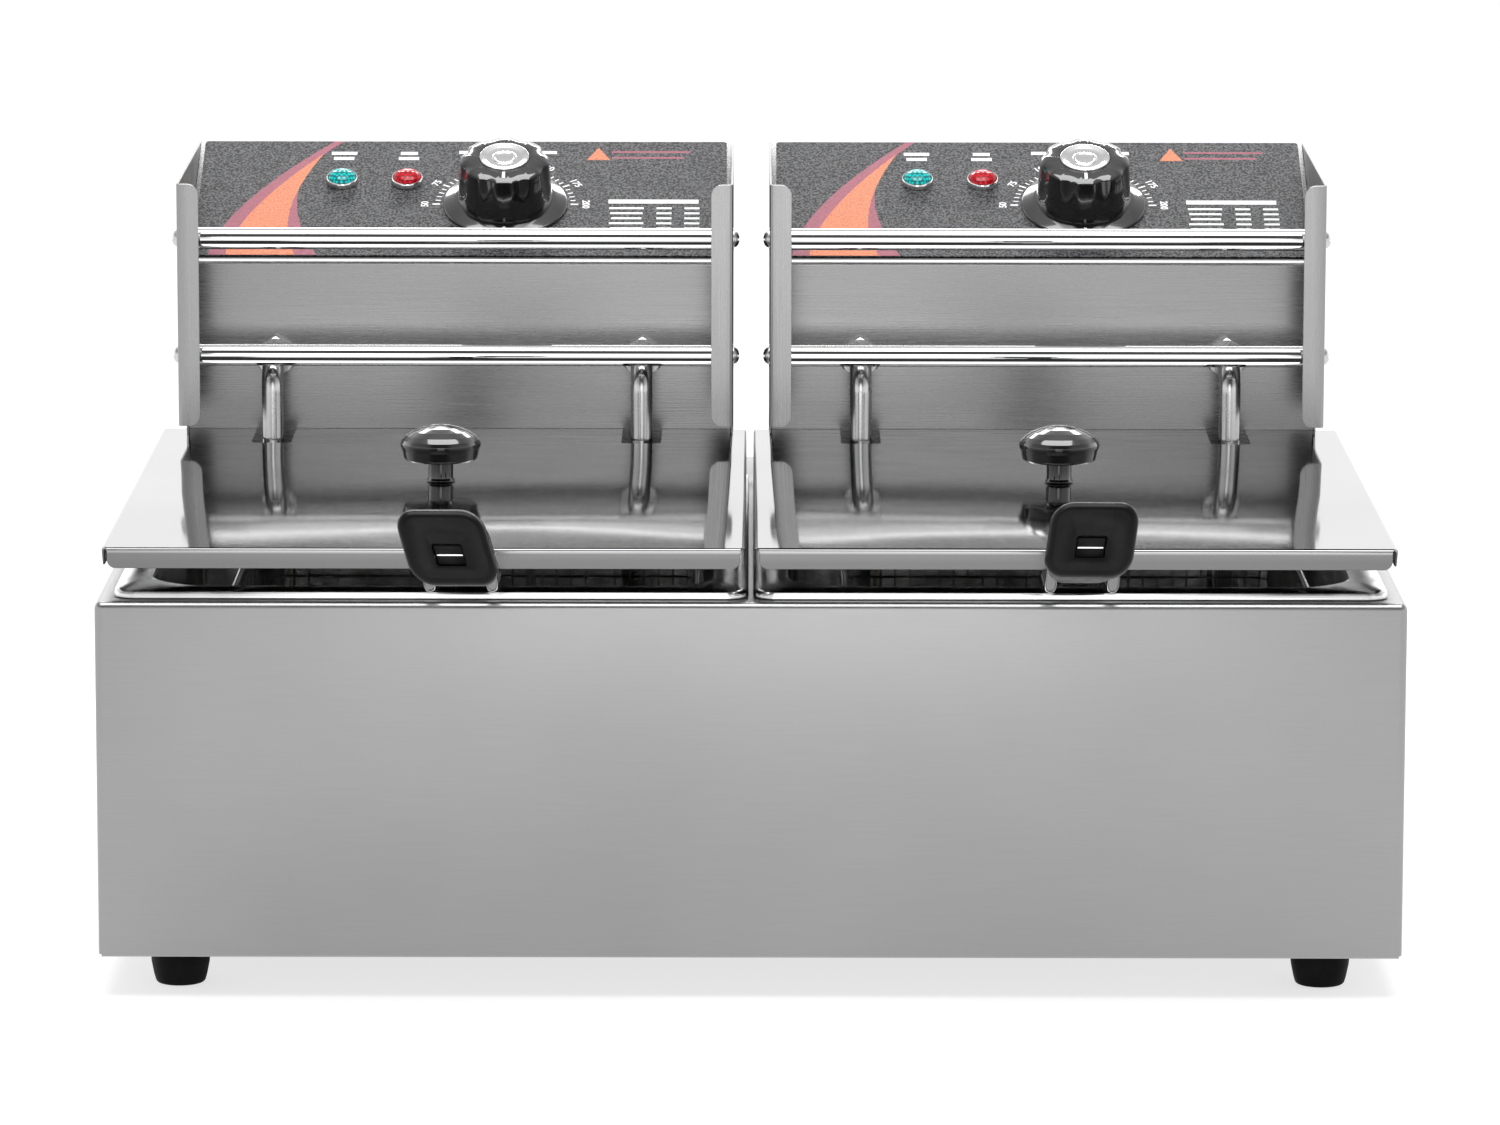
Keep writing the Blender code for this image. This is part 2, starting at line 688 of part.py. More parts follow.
def cable_gland(side, head):
    """The gland that the cord leaves the head by."""
    reach = GLAND_BACK - HEAD_BACK
    profile = [
        (CORD_R + 1.3 * MM, reach),
        (CORD_R + 3.8 * MM, reach - 1.5 * MM),
        (GLAND_R - 2 * MM, reach - 6 * MM),
        (GLAND_R - 2 * MM, 5 * MM),
        (GLAND_R, 5 * MM),
        (GLAND_R, GAP),
        (GLAND_NECK_R, GAP),
        (GLAND_NECK_R, -10 * MM),
        (CORD_R, -10 * MM),
        (CORD_R, reach - 1 * MM),
    ]
    at = (GLAND_X, HEAD_BACK, GLAND_Z)
    turn = (-math.pi / 2, 0, 0)
    spin(piece(f"{side}_cable_gland", turned("gland", profile, True), BLACK, head, at, turn))


# ---------------------------------------------------------------- tank, lid and basket


def tank(side, fryer):
    """The pressed oil tank, hanging by its rim on the deck."""
    pan = open_tray(
        TANK_WIDTH, TANK_DEPTH, TANK_BOTTOM, RIM_TOP - TANK_WALL, 25 * MM, 10 * MM, RIM_WIDTH, RIM_DROP
    )
    at = (SIDES[side]["sign"] * TANK_X, TANK_MIDDLE_Y, 0)
    solidify(piece(f"{side}_oil_tank", pan, POLISHED, fryer, at), TANK_WALL)


def lid_plate(side, swing):
    """The cover sheet with its three flaps turned down and a notch for each element leg."""
    half = LID_WIDTH / 2
    notch = NOTCH_WIDTH / 2
    inner = LID_BACK - NOTCH_LENGTH
    chamfer = 3 * MM
    head_shift = SIDES[side]["sign"] * HEAD_X - SIDES[side]["lid_x"]
    outline = [(-half, LID_FRONT), (half, LID_FRONT), (half, LID_BACK)]
    for x in (LEG_X + head_shift, -LEG_X + head_shift):
        outline += [
            (x + notch, LID_BACK),
            (x + notch, inner + chamfer),
            (x + notch - chamfer, inner),
            (x - notch + chamfer, inner),
            (x - notch, inner + chamfer),
            (x - notch, LID_BACK),
        ]
    outline.append((-half, LID_BACK))
    shift = Vector((0, -LID_SWING_Y, -LID_SWING_Z))
    top = shift + Vector((0, 0, LID_TOP - SHEET / 2))
    lid = piece(f"{side}_lid", plate(outline, SHEET), STEEL, swing, top)
    low = LID_TOP - LID_SKIRT
    high = LID_TOP - SHEET / 2
    corner = 4 * MM
    reach = half - 1 * MM
    front = [
        (-reach, high),
        (-reach, low + corner),
        (-reach + corner, low),
        (reach - corner, low),
        (reach, low + corner),
        (reach, high),
    ]
    at = shift + Vector((0, LID_FRONT + SHEET / 2 + 0.1 * MM, 0))
    flap = cutter(f"{side}_front_flap", plate(front, SHEET), swing, at, (math.pi / 2, 0, 0))
    combine(lid, flap, "UNION")
    flank = [
        (LID_FRONT + 2.5 * MM, high),
        (LID_FRONT + 9 * MM, low),
        (LID_BACK - 9 * MM, low),
        (LID_BACK - 1 * MM, high),
    ]
    for sign in (-1, 1):
        at = shift + Vector((sign * (half - SHEET / 2 - 0.1 * MM), 0, 0))
        turn = (math.pi / 2, 0, math.pi / 2)
        flap = cutter(f"{side}_side_flap_{sign}", plate(flank, SHEET), swing, at, turn)
        combine(lid, flap, "UNION")
    hole = cylinder(LID_SCREW_R + GAP, -5 * MM, 5 * MM, 16)
    at = shift + Vector((0, LID_KNOB_Y, LID_TOP))
    combine(lid, cutter(f"{side}_lid_screw_hole", hole, swing, at))


def lid_knob(side, swing):
    """The round knob in the middle of the lid and the screw that holds it from below."""
    bore = LID_SCREW_R + GAP
    top = LID_KNOB_HEIGHT
    profile = [
        (0, top),
        (6 * MM, top - 0.3 * MM),
        (11.5 * MM, top - 1.5 * MM),
        (16.5 * MM, top - 4.3 * MM),
        (18 * MM, top - 7 * MM),
        (17.2 * MM, top - 10 * MM),
        (13.5 * MM, top - 14 * MM),
        (6.5 * MM, top - 15 * MM),
        (5.5 * MM, top - 17 * MM),
        (5.5 * MM, GAP),
        (bore, GAP),
        (bore, 15 * MM),
        (0, 15 * MM),
    ]
    at = Vector((0, LID_KNOB_Y - LID_SWING_Y, LID_TOP - LID_SWING_Z))
    spin(piece(f"{side}_lid_knob", turned("lid_knob", profile), BLACK, swing, at), 20)
    under = -SHEET - GAP
    screw = [
        (0, 14 * MM),
        (LID_SCREW_R, 14 * MM),
        (LID_SCREW_R, under),
        (4.6 * MM, under),
        (3.4 * MM, under - 2 * MM),
        (0, under - 2.6 * MM),
    ]
    spin(piece(f"{side}_lid_knob_screw", turned("lid_screw", screw), ZINC, swing, at), 12)


def basket(side, fryer):
    """The basket as a thin open tray of its outer shape."""
    tray = open_tray(
        BASKET_WIDTH, BASKET_BACK - BASKET_FRONT, BASKET_BOTTOM, BASKET_TOP, 14 * MM, 6 * MM
    )
    at = (SIDES[side]["basket_x"], (BASKET_FRONT + BASKET_BACK) / 2, 0)
    solidify(piece(f"{side}_basket", tray, CHROME, fryer, at), BASKET_WALL)


def handle_turn(side):
    """How the handle stands to the straight-out direction."""
    about = SIDES[side]
    pitch = Matrix.Rotation(-math.radians(about["pitch"]), 4, "X")
    return Matrix.Rotation(math.radians(about["yaw"]), 4, "Z") @ pitch


def leaning(amount):
    """Carries the top of a piece sideways by so much of its height."""
    shift = Matrix.Identity(4)
    shift[0][2] = amount
    return shift


def basket_handle(side, fryer):
    """One bent wire from the basket over the tank's rim into the moulded grip, and back."""
    centre = Vector((SIDES[side]["basket_x"], 0, 0))
    pivot = Vector((0, HANDLE_PIVOT_Y, HANDLE_PIVOT_Z))
    turn = handle_turn(side)
    length = HANDLE_PIVOT_Y - GRIP_FRONT
    wire_end = pivot + turn @ Vector((0, -(length - 12 * MM), 0))
    half = WIRE_SPACING / 2
    behind = BASKET_FRONT - WIRE_R - GAP
    sides = []
    for sign in (1, -1):
        out = Vector((sign * half, 0, 0))
        sides.append([
            Vector((0, behind, WIRE_LOW)) + out,
            Vector((0, behind, WIRE_OVER_RIM)) + out,
            Vector((0, -6 * MM, WIRE_OVER_RIM)) + out,
            pivot + turn @ out,
            wire_end + turn @ out,
        ])
    corners = sides[0] + sides[1][::-1]
    bent = wire(rounded_path(corners, 7 * MM, 3), WIRE_R)
    piece(f"{side}_basket_handle_wire", bent, CHROME, fryer, centre)
    reach = Vector((GRIP_WIDTH / 2, 0, GRIP_HEIGHT / 2))
    moulding = box(Vector((0, -length, 0)) - reach, reach, GRIP_ROUND, 3)
    moulding.transform(leaning(SIDES[side]["lean"]))
    grip = piece(f"{side}_basket_grip", moulding, BLACK, fryer)
    lifted = Matrix.Translation((0, 0, GRIP_OFFSET))
    grip.matrix_local = Matrix.Translation(centre + pivot) @ turn @ lifted
    room = WIRE_R + GAP
    slot = box((-half - room, -(length - 8 * MM), -room), (half + room, 5 * MM, room))
    slot_cutter = cutter(f"{side}_grip_slot", slot, fryer)
    slot_cutter.matrix_local = Matrix.Translation(centre + pivot) @ turn
    combine(grip, slot_cutter)


# ---------------------------------------------------------------- assembly


def centre(fryer):
    """Moves the whole fryer so that its bounding box is centred on the origin."""
    bpy.context.view_layer.update()
    graph = bpy.context.evaluated_depsgraph_get()
    reach = []
    for obj in PARTS.objects:
        if obj.type == "MESH":
            evaluated = obj.evaluated_get(graph)
            reach += [(evaluated.matrix_world @ v.co).y for v in evaluated.data.vertices]
    fryer.location.y -= (min(reach) + max(reach)) / 2


def build():
    fryer = frame("fryer", None, (0, 0, 0))
    case_shell(fryer)
    base_plate(fryer)
    feet(fryer)
    for side, about in SIDES.items():
        head = frame(f"{side}_head", fryer, (about["sign"] * HEAD_X, 0, 0))
        panel = frame(f"{side}_panel", head, (0, FACE_Y, PANEL_Z), (PANEL_TILT, 0, 0))
        swing = frame(f"{side}_lid_swing", fryer, (about["lid_x"], LID_SWING_Y, LID_SWING_Z))
        head_front_panel(side, head, panel)
        head_sides(side, head)
        head_rear_cover(side, head)
        control_label(side, panel)
        hanging_rods(side, head)
        thermostat_knob(side, panel)
        indicator_lights(side, panel)
        controls_inside(side, head, panel)
        heating_element(side, head)
        element_nuts(side, head)
        terminal_block(side, head)
        cable_gland(side, head)
        tank(side, fryer)
        lid_plate(side, swing)
        lid_knob(side, swing)
        basket(side, fryer)
        basket_handle(side, fryer)
    centre(fryer)


build()
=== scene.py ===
"""Countertop deep fryer, finished in the metal, plastic and print of the real one."""

import math

import bmesh
import bpy
from mathutils import Matrix, Vector


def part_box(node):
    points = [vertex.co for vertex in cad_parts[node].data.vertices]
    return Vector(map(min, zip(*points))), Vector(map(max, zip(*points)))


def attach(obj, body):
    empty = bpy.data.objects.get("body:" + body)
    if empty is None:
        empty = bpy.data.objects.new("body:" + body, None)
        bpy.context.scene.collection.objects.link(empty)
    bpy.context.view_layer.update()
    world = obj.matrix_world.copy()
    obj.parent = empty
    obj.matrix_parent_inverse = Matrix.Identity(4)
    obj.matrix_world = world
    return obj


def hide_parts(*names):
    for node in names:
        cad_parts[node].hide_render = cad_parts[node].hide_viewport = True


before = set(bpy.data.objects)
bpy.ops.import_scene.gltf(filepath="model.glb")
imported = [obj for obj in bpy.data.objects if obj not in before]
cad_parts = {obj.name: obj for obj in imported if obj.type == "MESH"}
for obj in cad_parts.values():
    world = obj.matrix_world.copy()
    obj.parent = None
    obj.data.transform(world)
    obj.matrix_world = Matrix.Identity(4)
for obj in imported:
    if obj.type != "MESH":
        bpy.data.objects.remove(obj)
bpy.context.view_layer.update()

MM = 0.001
SIDES = ("left", "right")
CASE_LOW, CASE_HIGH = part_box("case_shell")

# Sheet metal, wires and fits, in millimetres
SHEET = 1.0
CASE_BEND = 3.0
FACE_Y = 334.5
PANEL_Z = 270.0
PANEL_TILT = math.radians(25)
PANEL_LENGTH = 105.6
LABEL_TOP = 0.8
HEAD_HALF = 125.2
HEAD_LOW = 169.6
HEAD_REAR = 432.3
CHEEK_OUT = 126.4
CHEEK_FRONT = 287.0
CHEEK_LOW = 200.0
CHEEK_TOP = 311.0
ROD_Y = 297.0
ROD_HEIGHTS = (285.0, 231.5)
LEG_OUT = 84.5
LEG_Y = 305.0
LEG_Z = 226.0
LID_TOP = 192.0
LID_KNOB_Y = 180.0
KNOB_SPOT = (20.0, 48.0)
LIGHT_SPOTS = {"power": (-57.0, 68.0), "heat": (-26.5, 68.0)}


def spot(x, y, z):
    """A place in millimetres: across from the middle, back from the case's front, and up."""
    return Vector((x * MM, CASE_LOW.y + y * MM, z * MM))


def middle_x(node):
    low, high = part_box(node)
    return (low.x + high.x) / 2 / MM


HEAD_X = {side: middle_x(f"{side}_head_front_panel") for side in SIDES}
TANK_X = {side: middle_x(f"{side}_oil_tank") for side in SIDES}
LID_X = {side: middle_x(f"{side}_lid") for side in SIDES}
BASKET_X = {side: middle_x(f"{side}_basket") for side in SIDES}
GRIP_PITCH = {"left": 10.0, "right": 11.8}
GRIP_YAW = {"left": 0.0, "right": -1.2}
GRIP_LEAN = {"left": -0.30, "right": 0.14}


# How brightly the room glows, by the sine of the height above the horizon
ROOM = {
    "front": [(0.0, 1.0), (0.25, 0.9), (0.30, 0.10), (0.77, 0.08), (0.83, 1.0), (1.0, 1.0)],
    "back": [(0.0, 1.75), (0.25, 1.7), (0.50, 1.1), (0.70, 0.75), (0.85, 0.6), (1.0, 1.0)],
}


# ------------------------------------------------------------ camera and studio


def camera():
    """Straight on and a little above, with a long lens."""
    lens = bpy.data.cameras.new("camera")
    lens.lens = 176.9
    lens.sensor_width = 36
    lens.clip_end = 50
    cam = bpy.data.objects.new("camera", lens)
    cam.location = spot(-0.4, -3036.5, 705.4)
    look = Matrix.Rotation(math.radians(90 - 9.7), 3, "X") @ Matrix.Rotation(math.radians(0.1), 3, "Z")
    cam.rotation_euler = look.to_euler()
    bpy.context.scene.collection.objects.link(cam)
    bpy.context.scene.camera = cam


def soft_light(name, place, aim, width, height, power):
    lamp = bpy.data.lights.new(name, "AREA")
    lamp.shape = "RECTANGLE"
    lamp.size = width
    lamp.size_y = height
    lamp.energy = power
    obj = bpy.data.objects.new(name, lamp)
    obj.location = place
    obj.rotation_euler = (Vector(aim) - Vector(place)).to_track_quat("-Z", "Y").to_euler()
    bpy.context.scene.collection.objects.link(obj)


def studio():
    """A white floor in a bright room, with a dark band over its front wall that fades to the sides."""
    bpy.context.scene.view_settings.view_transform = "Standard"
    world = bpy.data.worlds.new("studio")
    bpy.context.scene.world = world
    world.use_nodes = True
    nodes, links = world.node_tree.nodes, world.node_tree.links
    coord = nodes.new("ShaderNodeTexCoord")
    split = nodes.new("ShaderNodeSeparateXYZ")
    links.new(coord.outputs["Generated"], split.inputs[0])
    ramps = {}
    for part, stops in ROOM.items():
        ramp = nodes.new("ShaderNodeValToRGB")
        links.new(split.outputs["Z"], ramp.inputs[0])
        while len(ramp.color_ramp.elements) < len(stops):
            ramp.color_ramp.elements.new(0.5)
        for element, (height, glow) in zip(ramp.color_ramp.elements, stops):
            element.position = height
            element.color = (glow, glow, glow, 1)
        ramps[part] = ramp.outputs[0]
    flank = nodes.new("ShaderNodeMath")
    flank.operation = "ABSOLUTE"
    links.new(split.outputs["X"], flank.inputs[0])
    wider = nodes.new("ShaderNodeMath")
    wider.operation = "MAXIMUM"
    links.new(spread(world, split.outputs["Y"], 0, 1, -0.15, 0.25), wider.inputs[0])
    links.new(spread(world, flank.outputs[0], 0, 0.45, 0.30, 0.55), wider.inputs[1])
    room = nodes.new("ShaderNodeMix")
    room.data_type = "RGBA"
    links.new(wider.outputs[0], room.inputs["Factor"])
    links.new(ramps["front"], room.inputs["A"])
    links.new(ramps["back"], room.inputs["B"])
    links.new(room.outputs["Result"], nodes["Background"].inputs["Color"])
    deselect()
    bpy.ops.mesh.primitive_plane_add(size=30, location=(0, 4, -0.0004))
    floor = bpy.context.object
    floor.name = "floor"
    material, shader = plain("floor_white", (0.35, 0.35, 0.35), 0.9)
    shader.inputs["Emission Color"].default_value = (1, 1, 1, 1)
    shader.inputs["Emission Strength"].default_value = 0.68
    floor.data.materials.append(material)
    soft_light("rear_box", (0, 2.3, 1.95), (0, 0.1, 0.25), 2.2, 0.40, 30)
    soft_light("top_box", (0, -0.35, 2.1), (0, -0.35, 0), 1.8, 1.3, 38)
    soft_light("front_box", (0, -2.6, 0.9), (0, 0, 0.1), 0.9, 0.9, 5)
    soft_light("low_box", (0.03, -1.45, 0.12), (0.03, 0, -0.12), 0.80, 0.20, 0.8)


# ------------------------------------------------------------ finishes


def plain(name, colour, roughness, metallic=0.0):
    material = bpy.data.materials.new(name)
    material.use_nodes = True
    shader = material.node_tree.nodes["Principled BSDF"]
    shader.inputs["Base Color"].default_value = (*colour, 1)
    shader.inputs["Roughness"].default_value = roughness
    shader.inputs["Metallic"].default_value = metallic
    return material, shader


def link(material, value, socket):
    material.node_tree.links.new(value, socket)


def own_coordinates(material, **inputs):
    """The piece's own coordinates, stretched or turned by the mapping's inputs."""
    coord = material.node_tree.nodes.new("ShaderNodeTexCoord")
    mapping = material.node_tree.nodes.new("ShaderNodeMapping")
    for name, value in inputs.items():
        mapping.inputs[name].default_value = value
    link(material, coord.outputs["Object"], mapping.inputs["Vector"])
    return mapping.outputs["Vector"]


def noise(material, scale, detail, stretch=(1, 1, 1)):
    """Noise on the piece's own coordinates, with each axis stretched by its own amount."""
    texture = material.node_tree.nodes.new("ShaderNodeTexNoise")
    texture.inputs["Scale"].default_value = scale
    texture.inputs["Detail"].default_value = detail
    link(material, own_coordinates(material, Scale=stretch), texture.inputs["Vector"])
    return texture.outputs["Fac"]


def spread(material, value, low, high, start=0.3, end=0.7):
    """The value carried from the range start-end to low-high."""
    node = material.node_tree.nodes.new("ShaderNodeMapRange")
    node.inputs["From Min"].default_value = start
    node.inputs["From Max"].default_value = end
    node.inputs["To Min"].default_value = low
    node.inputs["To Max"].default_value = high
    link(material, value, node.inputs["Value"])
    return node.outputs[0]


def tint(material, factor, first, second, target):
    node = material.node_tree.nodes.new("ShaderNodeMix")
    node.data_type = "RGBA"
    link(material, factor, node.inputs["Factor"])
    node.inputs["A"].default_value = (*first, 1)
    node.inputs["B"].default_value = (*second, 1)
    link(material, node.outputs["Result"], target)


def bump(material, height, distance, strength=1.0, under=None):
    node = material.node_tree.nodes.new("ShaderNodeBump")
    node.inputs["Strength"].default_value = strength
    node.inputs["Distance"].default_value = distance
    link(material, height, node.inputs["Height"])
    if under:
        link(material, under, node.inputs["Normal"])
    return node.outputs["Normal"]


def brushed(name, shade, rough, grain, depth, wave=0.0, rim=1.0):
    """Brushed steel: fine scratches along one axis, cloudy patches, and slow waves in the sheet."""
    material, shader = plain(name, (shade,) * 3, rough, 1.0)
    stretch = tuple(0.014 if axis == grain else 1.0 for axis in "XYZ")
    scratches = noise(material, 2300, 2.0, stretch)
    clouds = noise(material, 7, 3.0)
    link(material, spread(material, scratches, rough * 0.88, rough * 1.12), shader.inputs["Roughness"])
    light, dark = (shade * 1.10,) * 3, (shade * 0.90,) * 3
    mixed = material.node_tree.nodes.new("ShaderNodeMath")
    mixed.operation = "MULTIPLY_ADD"
    mixed.inputs[1].default_value = 0.6
    link(material, scratches, mixed.inputs[0])
    link(material, spread(material, clouds, 0.0, 0.4), mixed.inputs[2])
    tint(material, mixed.outputs[0], dark, light, shader.inputs["Base Color"])
    shader.inputs["Specular Tint"].default_value = (rim, rim, rim, 1)
    waves = bump(material, noise(material, 5, 1.0), wave) if wave else None
    link(material, bump(material, scratches, depth, 0.6, waves), shader.inputs["Normal"])
    return material


def sheet_with_edges(material, below, above, shade, rough):
    """The sheet's flat top keeps its finish, and its turned-down edges are rougher, with painted shade
    darkening their colour.
    """
    nodes = material.node_tree.nodes
    shader = nodes["Principled BSDF"]
    coord = nodes.new("ShaderNodeTexCoord")
    split = nodes.new("ShaderNodeSeparateXYZ")
    link(material, coord.outputs["Object"], split.inputs[0])
    on_top = spread(material, split.outputs["Z"], 0, 1, below, above)
    # The edges' higher roughness is a duller finish; their darker colour is painted shade on the flaps.
    rougher_and_painted_shade = (("Base Color", "RGBA", (shade, shade, shade, 1)), ("Roughness", "FLOAT", rough))
    for socket, kind, value in rougher_and_painted_shade:
        mixed = nodes.new("ShaderNodeMix")
        mixed.data_type = kind
        link(material, on_top, mixed.inputs["Factor"])
        first, second = [s for s in mixed.inputs if s.enabled and s.name in ("A", "B")]
        first.default_value = value
        link(material, shader.inputs[socket].links[0].from_socket, second)
        link(material, [s for s in mixed.outputs if s.enabled][0], shader.inputs[socket])
    return material


def polished(name, shade, rough):
    """Bright metal with a faint haze and hairline marks."""
    material, shader = plain(name, (shade,) * 3, rough, 1.0)
    haze = noise(material, 60, 4.0)
    link(material, spread(material, haze, rough * 0.7, rough * 1.5), shader.inputs["Roughness"])
    marks = noise(material, 900, 2.0, (0.05, 1, 1))
    link(material, bump(material, marks, 0.000004, 0.5), shader.inputs["Normal"])
    return material


def moulded(name, colour, rough, grain_scale, depth, shine=0.5):
    """Moulded plastic or rubber with a fine surface texture, and a clear coat if its shine is above 0.5."""
    material, shader = plain(name, colour, rough)
    if shine > 0.5:
        shader.inputs["Coat Weight"].default_value = 1.0
        shader.inputs["Coat Roughness"].default_value = 0.06
        shader.inputs["Coat IOR"].default_value = 1.5
    shader.inputs["Specular IOR Level"].default_value = shine
    haze = spread(material, noise(material, 45, 3.0), rough * 0.8, rough * 1.3)
    link(material, haze, shader.inputs["Roughness"])
    link(material, bump(material, noise(material, grain_scale, 2.0), depth, 0.7), shader.inputs["Normal"])
    lighter = tuple(c * 1.5 + 0.002 for c in colour)
    specks = spread(material, noise(material, 120, 3.0), 0, 1)
    tint(material, specks, colour, lighter, shader.inputs["Base Color"])
    return material


def film(name):
    """The label's dark grey film, full of light and dark grains."""
    material, shader = plain(name, (0.09, 0.09, 0.092), 0.5)
    shader.inputs["Specular IOR Level"].default_value = 0.25
    grains = noise(material, 950, 1.0)
    dark, light = (0.006, 0.006, 0.007), (0.115, 0.115, 0.12)
    tint(material, spread(material, grains, 0, 1, 0.40, 0.62), dark, light, shader.inputs["Base Color"])
    link(material, bump(material, grains, 0.00003, 0.5), shader.inputs["Normal"])
    return material


def ink(name, colour, speckle=0.45):
    """Screen-printed ink over the grained film."""
    material, shader = plain(name, colour, 0.45)
    darker = tuple(c * (1 - speckle) for c in colour)
    grains = spread(material, noise(material, 1300, 2.0), 0, 1, 0.35, 0.65)
    tint(material, grains, darker, colour, shader.inputs["Base Color"])
    return material


def lens_plastic(name, colour, dark):
    """Glossy coloured plastic with a pattern of small diamonds."""
    material, shader = plain(name, colour, 0.06)
    cells = material.node_tree.nodes.new("ShaderNodeTexVoronoi")
    cells.inputs["Scale"].default_value = 620
    cells.inputs["Randomness"].default_value = 0.0
    link(material, own_coordinates(material, Rotation=(0, 0, math.radians(45))), cells.inputs["Vector"])
    far = cells.outputs["Distance"]
    tint(material, spread(material, far, 0, 1, 0.15, 0.6), colour, dark, shader.inputs["Base Color"])
    link(material, bump(material, far, 0.0002, 0.8), shader.inputs["Normal"])
    shader.inputs["Specular IOR Level"].default_value = 0.35
    return material


# ------------------------------------------------------------ modelling by hand


def deselect():
    if bpy.context.object and bpy.context.object.mode != "OBJECT":
        bpy.ops.object.mode_set(mode="OBJECT")
    bpy.ops.object.select_all(action="DESELECT")


def alone(obj):
    """Selects the piece and nothing else."""
    deselect()
    obj.select_set(True)
    bpy.context.view_layer.objects.active = obj


def edit(obj):
    """Opens the piece alone in edit mode, with nothing picked."""
    alone(obj)
    bpy.ops.object.mode_set(mode="EDIT")
    bpy.ops.mesh.select_all(action="DESELECT")


def pick(obj, kind, test):
    """Picks the corners, edges or faces of an open piece that pass the test."""
    bpy.ops.mesh.select_mode(type=kind)
    bpy.ops.mesh.select_all(action="DESELECT")
    shape = bmesh.from_edit_mesh(obj.data)
    items = {"VERT": shape.verts, "EDGE": shape.edges, "FACE": shape.faces}[kind]
    for item in items:
        if test(item):
            item.select_set(True)
    shape.select_flush_mode()
    bmesh.update_edit_mesh(obj.data)


def mid(edge):
    return (edge.verts[0].co + edge.verts[1].co) / 2


def along(edge, axis):
    """True if the edge runs along the axis, 0 for X to 2 for Z."""
    run = edge.verts[1].co - edge.verts[0].co
    return run.length > 0 and abs(run[axis]) > 0.99 * run.length


def fold(edge):
    """True for an edge where two faces meet."""
    return len(edge.link_faces) == 2


def move(x=0.0, y=0.0, z=0.0):
    """Extrudes what is picked and moves the new part, in millimetres."""
    bpy.ops.mesh.extrude_region_move(TRANSFORM_OT_translate={"value": (x * MM, y * MM, z * MM)})


def pick_all():
    bpy.ops.mesh.select_all(action="SELECT")


def bevel(width, segments, kind="EDGES"):
    """Rounds over the picked edges or corners, in millimetres."""
    bpy.ops.mesh.bevel(offset=width * MM, segments=segments, affect=kind)


def bake_place():
    bpy.ops.object.transform_apply(location=True, rotation=True, scale=True)


def close_up(merge=0.0):
    """Merges corners that meet, turns every face outwards, and ends the edit."""
    pick_all()
    if merge:
        bpy.ops.mesh.remove_doubles(threshold=merge)
    bpy.ops.mesh.normals_make_consistent(inside=False)
    bpy.ops.object.mode_set(mode="OBJECT")


def block(name, low, high):
    """A box between two corners, open in edit mode."""
    deselect()
    low, high = Vector(low), Vector(high)
    bpy.ops.mesh.primitive_cube_add(size=1, location=(low + high) / 2, scale=high - low)
    obj = bpy.context.object
    obj.name = name
    bake_place()
    edit(obj)
    return obj


def small_block(name, low, high):
    """A box between two corners in millimetres, open in edit mode."""
    return block(name, Vector(low) * MM, Vector(high) * MM)


def drum(name, sides, radius, depth, middle):
    """An upright cylinder or prism in millimetres, its middle at a height on Z."""
    deselect()
    bpy.ops.mesh.primitive_cylinder_add(
        vertices=sides, radius=radius * MM, depth=depth * MM, location=(0, 0, middle * MM)
    )
    obj = bpy.context.object
    obj.name = name
    bake_place()
    return obj


def thread(name, points, radius=0.0, segments=4, ring=False):
    """A chain of edges through the points, its inner corners rounded, open in edit mode."""
    deselect()
    bpy.ops.mesh.primitive_plane_add(size=MM, location=points[0])
    obj = bpy.context.object
    obj.name = name
    bake_place()
    edit(obj)
    bpy.ops.mesh.select_mode(type="VERT")
    pick_all()
    bpy.ops.mesh.merge(type="CENTER")
    for a, b in zip(points, points[1:]):
        step = Vector(b) - Vector(a)
        bpy.ops.mesh.extrude_region_move(TRANSFORM_OT_translate={"value": step})
    if ring:
        pick(obj, "VERT", lambda v: len(v.link_edges) == 1)
        bpy.ops.mesh.edge_face_add()
    if radius:
        pick(obj, "VERT", lambda v: len(v.link_edges) == 2)
        bevel(radius, segments, "VERTICES")
    return obj


def close_face():
    """Fills the closed chain with one face."""
    pick_all()
    bpy.ops.mesh.edge_face_add()


def modify(obj, kind, **values):
    """Adds a modifier, sets it and applies it."""
    alone(obj)
    step = obj.modifiers.new(kind.title(), kind)
    for key, value in values.items():
        setattr(step, key, value)
    bpy.ops.object.modifier_apply(modifier=step.name)


def thicken(obj, thickness, offset=-1.0):
    modify(obj, "SOLIDIFY", thickness=thickness * MM, offset=offset, use_even_offset=True)


def soften(obj, width, segments, angle=40):
    """Small round-overs on every sharp edge."""
    modify(
        obj, "BEVEL", width=width * MM, segments=segments, limit_method="ANGLE",
        angle_limit=math.radians(angle), use_clamp_overlap=True, harden_normals=False,
    )


def cut(obj, tool, operation="DIFFERENCE"):
    modify(obj, "BOOLEAN", operation=operation, object=tool, solver="EXACT")
    bpy.data.objects.remove(tool)


def rod_from(obj, radius, sides):
    """Turns a chain of edges into a round bar or wire with closed ends."""
    alone(obj)
    bpy.ops.object.convert(target="CURVE")
    obj = bpy.context.object
    obj.data.bevel_depth = radius * MM
    obj.data.bevel_resolution = sides
    obj.data.use_fill_caps = True
    bpy.ops.object.convert(target="MESH")
    edit(obj)
    close_up(0.000001)
    return obj


def wire(name, points, bend, radius, sides, segments=5, ring=False):
    return rod_from(thread(name, points, bend, segments, ring), radius, sides)


